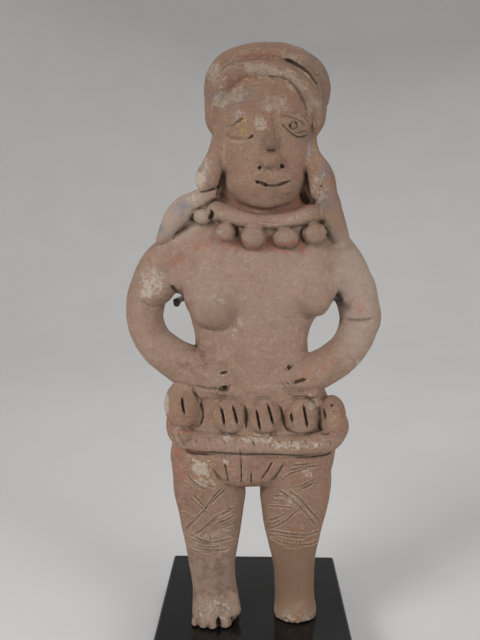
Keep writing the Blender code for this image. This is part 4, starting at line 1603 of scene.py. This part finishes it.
@dataclass(frozen=True)
class BlackGloss:
    """Polished black acrylic with a little dust."""

    black: Colour = (0.006, 0.006, 0.007)
    dust: Colour = (0.05, 0.048, 0.045)

    def material(self) -> bpy.types.Material:
        """Makes the material.

        Returns:
            The material.
        """
        recipe = Recipe("black_gloss", 0.1)
        specks = recipe.noise(0.5, 2, 0.7).ramp(0.68, 0.8)
        film = recipe.noise(22, 4, 0.6).ramp(0.4, 0.75)
        recipe.feed("Base Color", recipe.mix(0.35 * specks, self.black, self.dust))
        recipe.feed("Roughness", 0.07 + 0.12 * film + 0.2 * specks)
        return recipe.material


@dataclass(frozen=True)
class DarkSteel:
    """Dark wire, drawn and lightly scratched."""

    pale: Colour = (0.2, 0.19, 0.175)
    dark: Colour = (0.07, 0.066, 0.06)

    def material(self) -> bpy.types.Material:
        """Makes the material.

        Returns:
            The material.
        """
        recipe = Recipe("dark_steel", 0.35, 1.0)
        patches = recipe.noise(3, 4, 0.6).ramp(0.35, 0.7)
        recipe.feed("Base Color", recipe.mix(patches, self.dark, self.pale))
        recipe.feed("Roughness", 0.3 + 0.2 * recipe.noise(0.7, 3))
        recipe.bump(recipe.noise(0.35, 2), 0.3, 0.1 * MM)
        return recipe.material


@dataclass
class DisplayStand:
    """The glossy plate and the two wires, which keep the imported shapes."""

    plate: str = "base_plate"
    wires: tuple[str, str] = ("wire_hook_left", "wire_hook_right")

    def dress(self) -> list[bpy.types.Object]:
        """Gives the plate and wires their finishes.

        Returns:
            The dressed pieces.
        """
        steel = DarkSteel().material()
        pieces = [self.paint(self.plate, BlackGloss().material())]
        return pieces + [self.paint(name, steel) for name in self.wires]

    def paint(self, name: str, material: bpy.types.Material) -> bpy.types.Object:
        """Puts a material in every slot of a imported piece."""
        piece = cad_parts[name]
        for place in piece.material_slots:
            place.material = material
        return piece


@dataclass
class Studio:
    """The pale floor, the soft lights and the camera at the photograph's angle."""

    camera_place: Place = (0.00074, -0.21281, 0.14095)
    tilt_down: float = 7.890
    turn_left: float = 1.438
    lens: float = 36.5625
    film_width: float = 36.0
    floor_radius: float = 0.5
    sweep: float = 0.5
    sweep_steps: int = 10
    wall: float = 1.25
    around: int = 64
    floor_tones: tuple[Colour, Colour] = ((0.74, 0.735, 0.725), (0.72, 0.715, 0.705))
    lights: tuple[tuple[str, Place, float, float], ...] = (
        ("left_light", (-0.44, -0.42, 0.4), 0.22, 2.3),
        ("right_light", (0.46, -0.46, 0.3), 0.26, 1.6),
        ("back_light", (0.1, 0.5, 0.8), 0.5, 2.4),
    )
    aim: Place = (0, 0, 0.1)
    air: Colour = (0.8, 0.8, 0.82)
    air_strength: float = 0.12

    def build(self) -> None:
        """Makes floor, lights, air and camera."""
        self.lay_floor()
        for light in self.lights:
            self.light(*light)
        world = bpy.data.worlds.new("studio_air")
        world.use_nodes = True
        background = world.node_tree.nodes["Background"]
        background.inputs["Color"].default_value = (*self.air, 1)
        background.inputs["Strength"].default_value = self.air_strength
        bpy.context.scene.world = world
        bpy.context.scene.view_settings.view_transform = "Standard"
        self.place_camera()

    def lay_floor(self) -> None:
        """Lays a plain pale floor that sweeps up all round into a low wall."""
        rims = [(0.1 * MM, 0.0), (self.floor_radius, 0.0)]
        for k in range(1, self.sweep_steps + 1):
            turn = math.pi / 2 * k / self.sweep_steps
            across = self.floor_radius + self.sweep * math.sin(turn)
            rims.append((across, self.sweep * (1 - math.cos(turn))))
        rims.append((self.floor_radius + self.sweep, self.wall))
        turns = [2 * math.pi * k / self.around for k in range(self.around)]
        places = [(r * math.cos(turn), r * math.sin(turn), z) for r, z in rims for turn in turns]
        faces = []
        for low in range(0, self.around * (len(rims) - 1), self.around):
            for here in range(self.around):
                after, high = (here + 1) % self.around, low + self.around
                faces.append((low + here, low + after, high + after, high + here))
        mesh = bpy.data.meshes.new("floor")
        mesh.from_pydata(places, [], faces)
        mesh.shade_smooth()
        floor = bpy.data.objects.new("floor", mesh)
        bpy.context.scene.collection.objects.link(floor)
        recipe = Recipe("pale_floor", 0.75)
        shade = recipe.mix(recipe.noise(60, 2).ramp(0.3, 0.7), *self.floor_tones)
        recipe.feed("Base Color", shade)
        mesh.materials.append(recipe.material)

    def light(self, name: str, place: Place, side: float, power: float) -> None:
        """Adds a square soft light that faces the figure."""
        data = bpy.data.lights.new(name, "AREA")
        data.size = side
        data.energy = power
        light = bpy.data.objects.new(name, data)
        light.location = place
        aim = Vector(self.aim) - Vector(place)
        light.rotation_euler = aim.to_track_quat("-Z", "Y").to_euler()
        bpy.context.scene.collection.objects.link(light)

    def place_camera(self) -> None:
        """Puts the camera where the photograph was taken from."""
        data = bpy.data.cameras.new("camera")
        data.lens = self.lens
        data.sensor_width = self.film_width
        data.clip_start = 0.01
        camera = bpy.data.objects.new("camera", data)
        camera.location = self.camera_place
        tilt = math.pi / 2 - math.radians(self.tilt_down)
        camera.rotation_euler = (tilt, 0, math.radians(self.turn_left))
        bpy.context.scene.collection.objects.link(camera)
        bpy.context.scene.camera = camera


def main() -> None:
    """Builds the figure, dresses the stand and sets up the studio."""
    logging.basicConfig(level=logging.INFO, format="%(message)s", force=True)
    Studio().build()
    figure = PotteryFigure().build()
    LOG.info("%s: %d triangles", figure.name, len(figure.data.polygons))
    for piece in DisplayStand().dress():
        LOG.info("%s: dressed", piece.name)


if __name__ == "__main__":
    main()
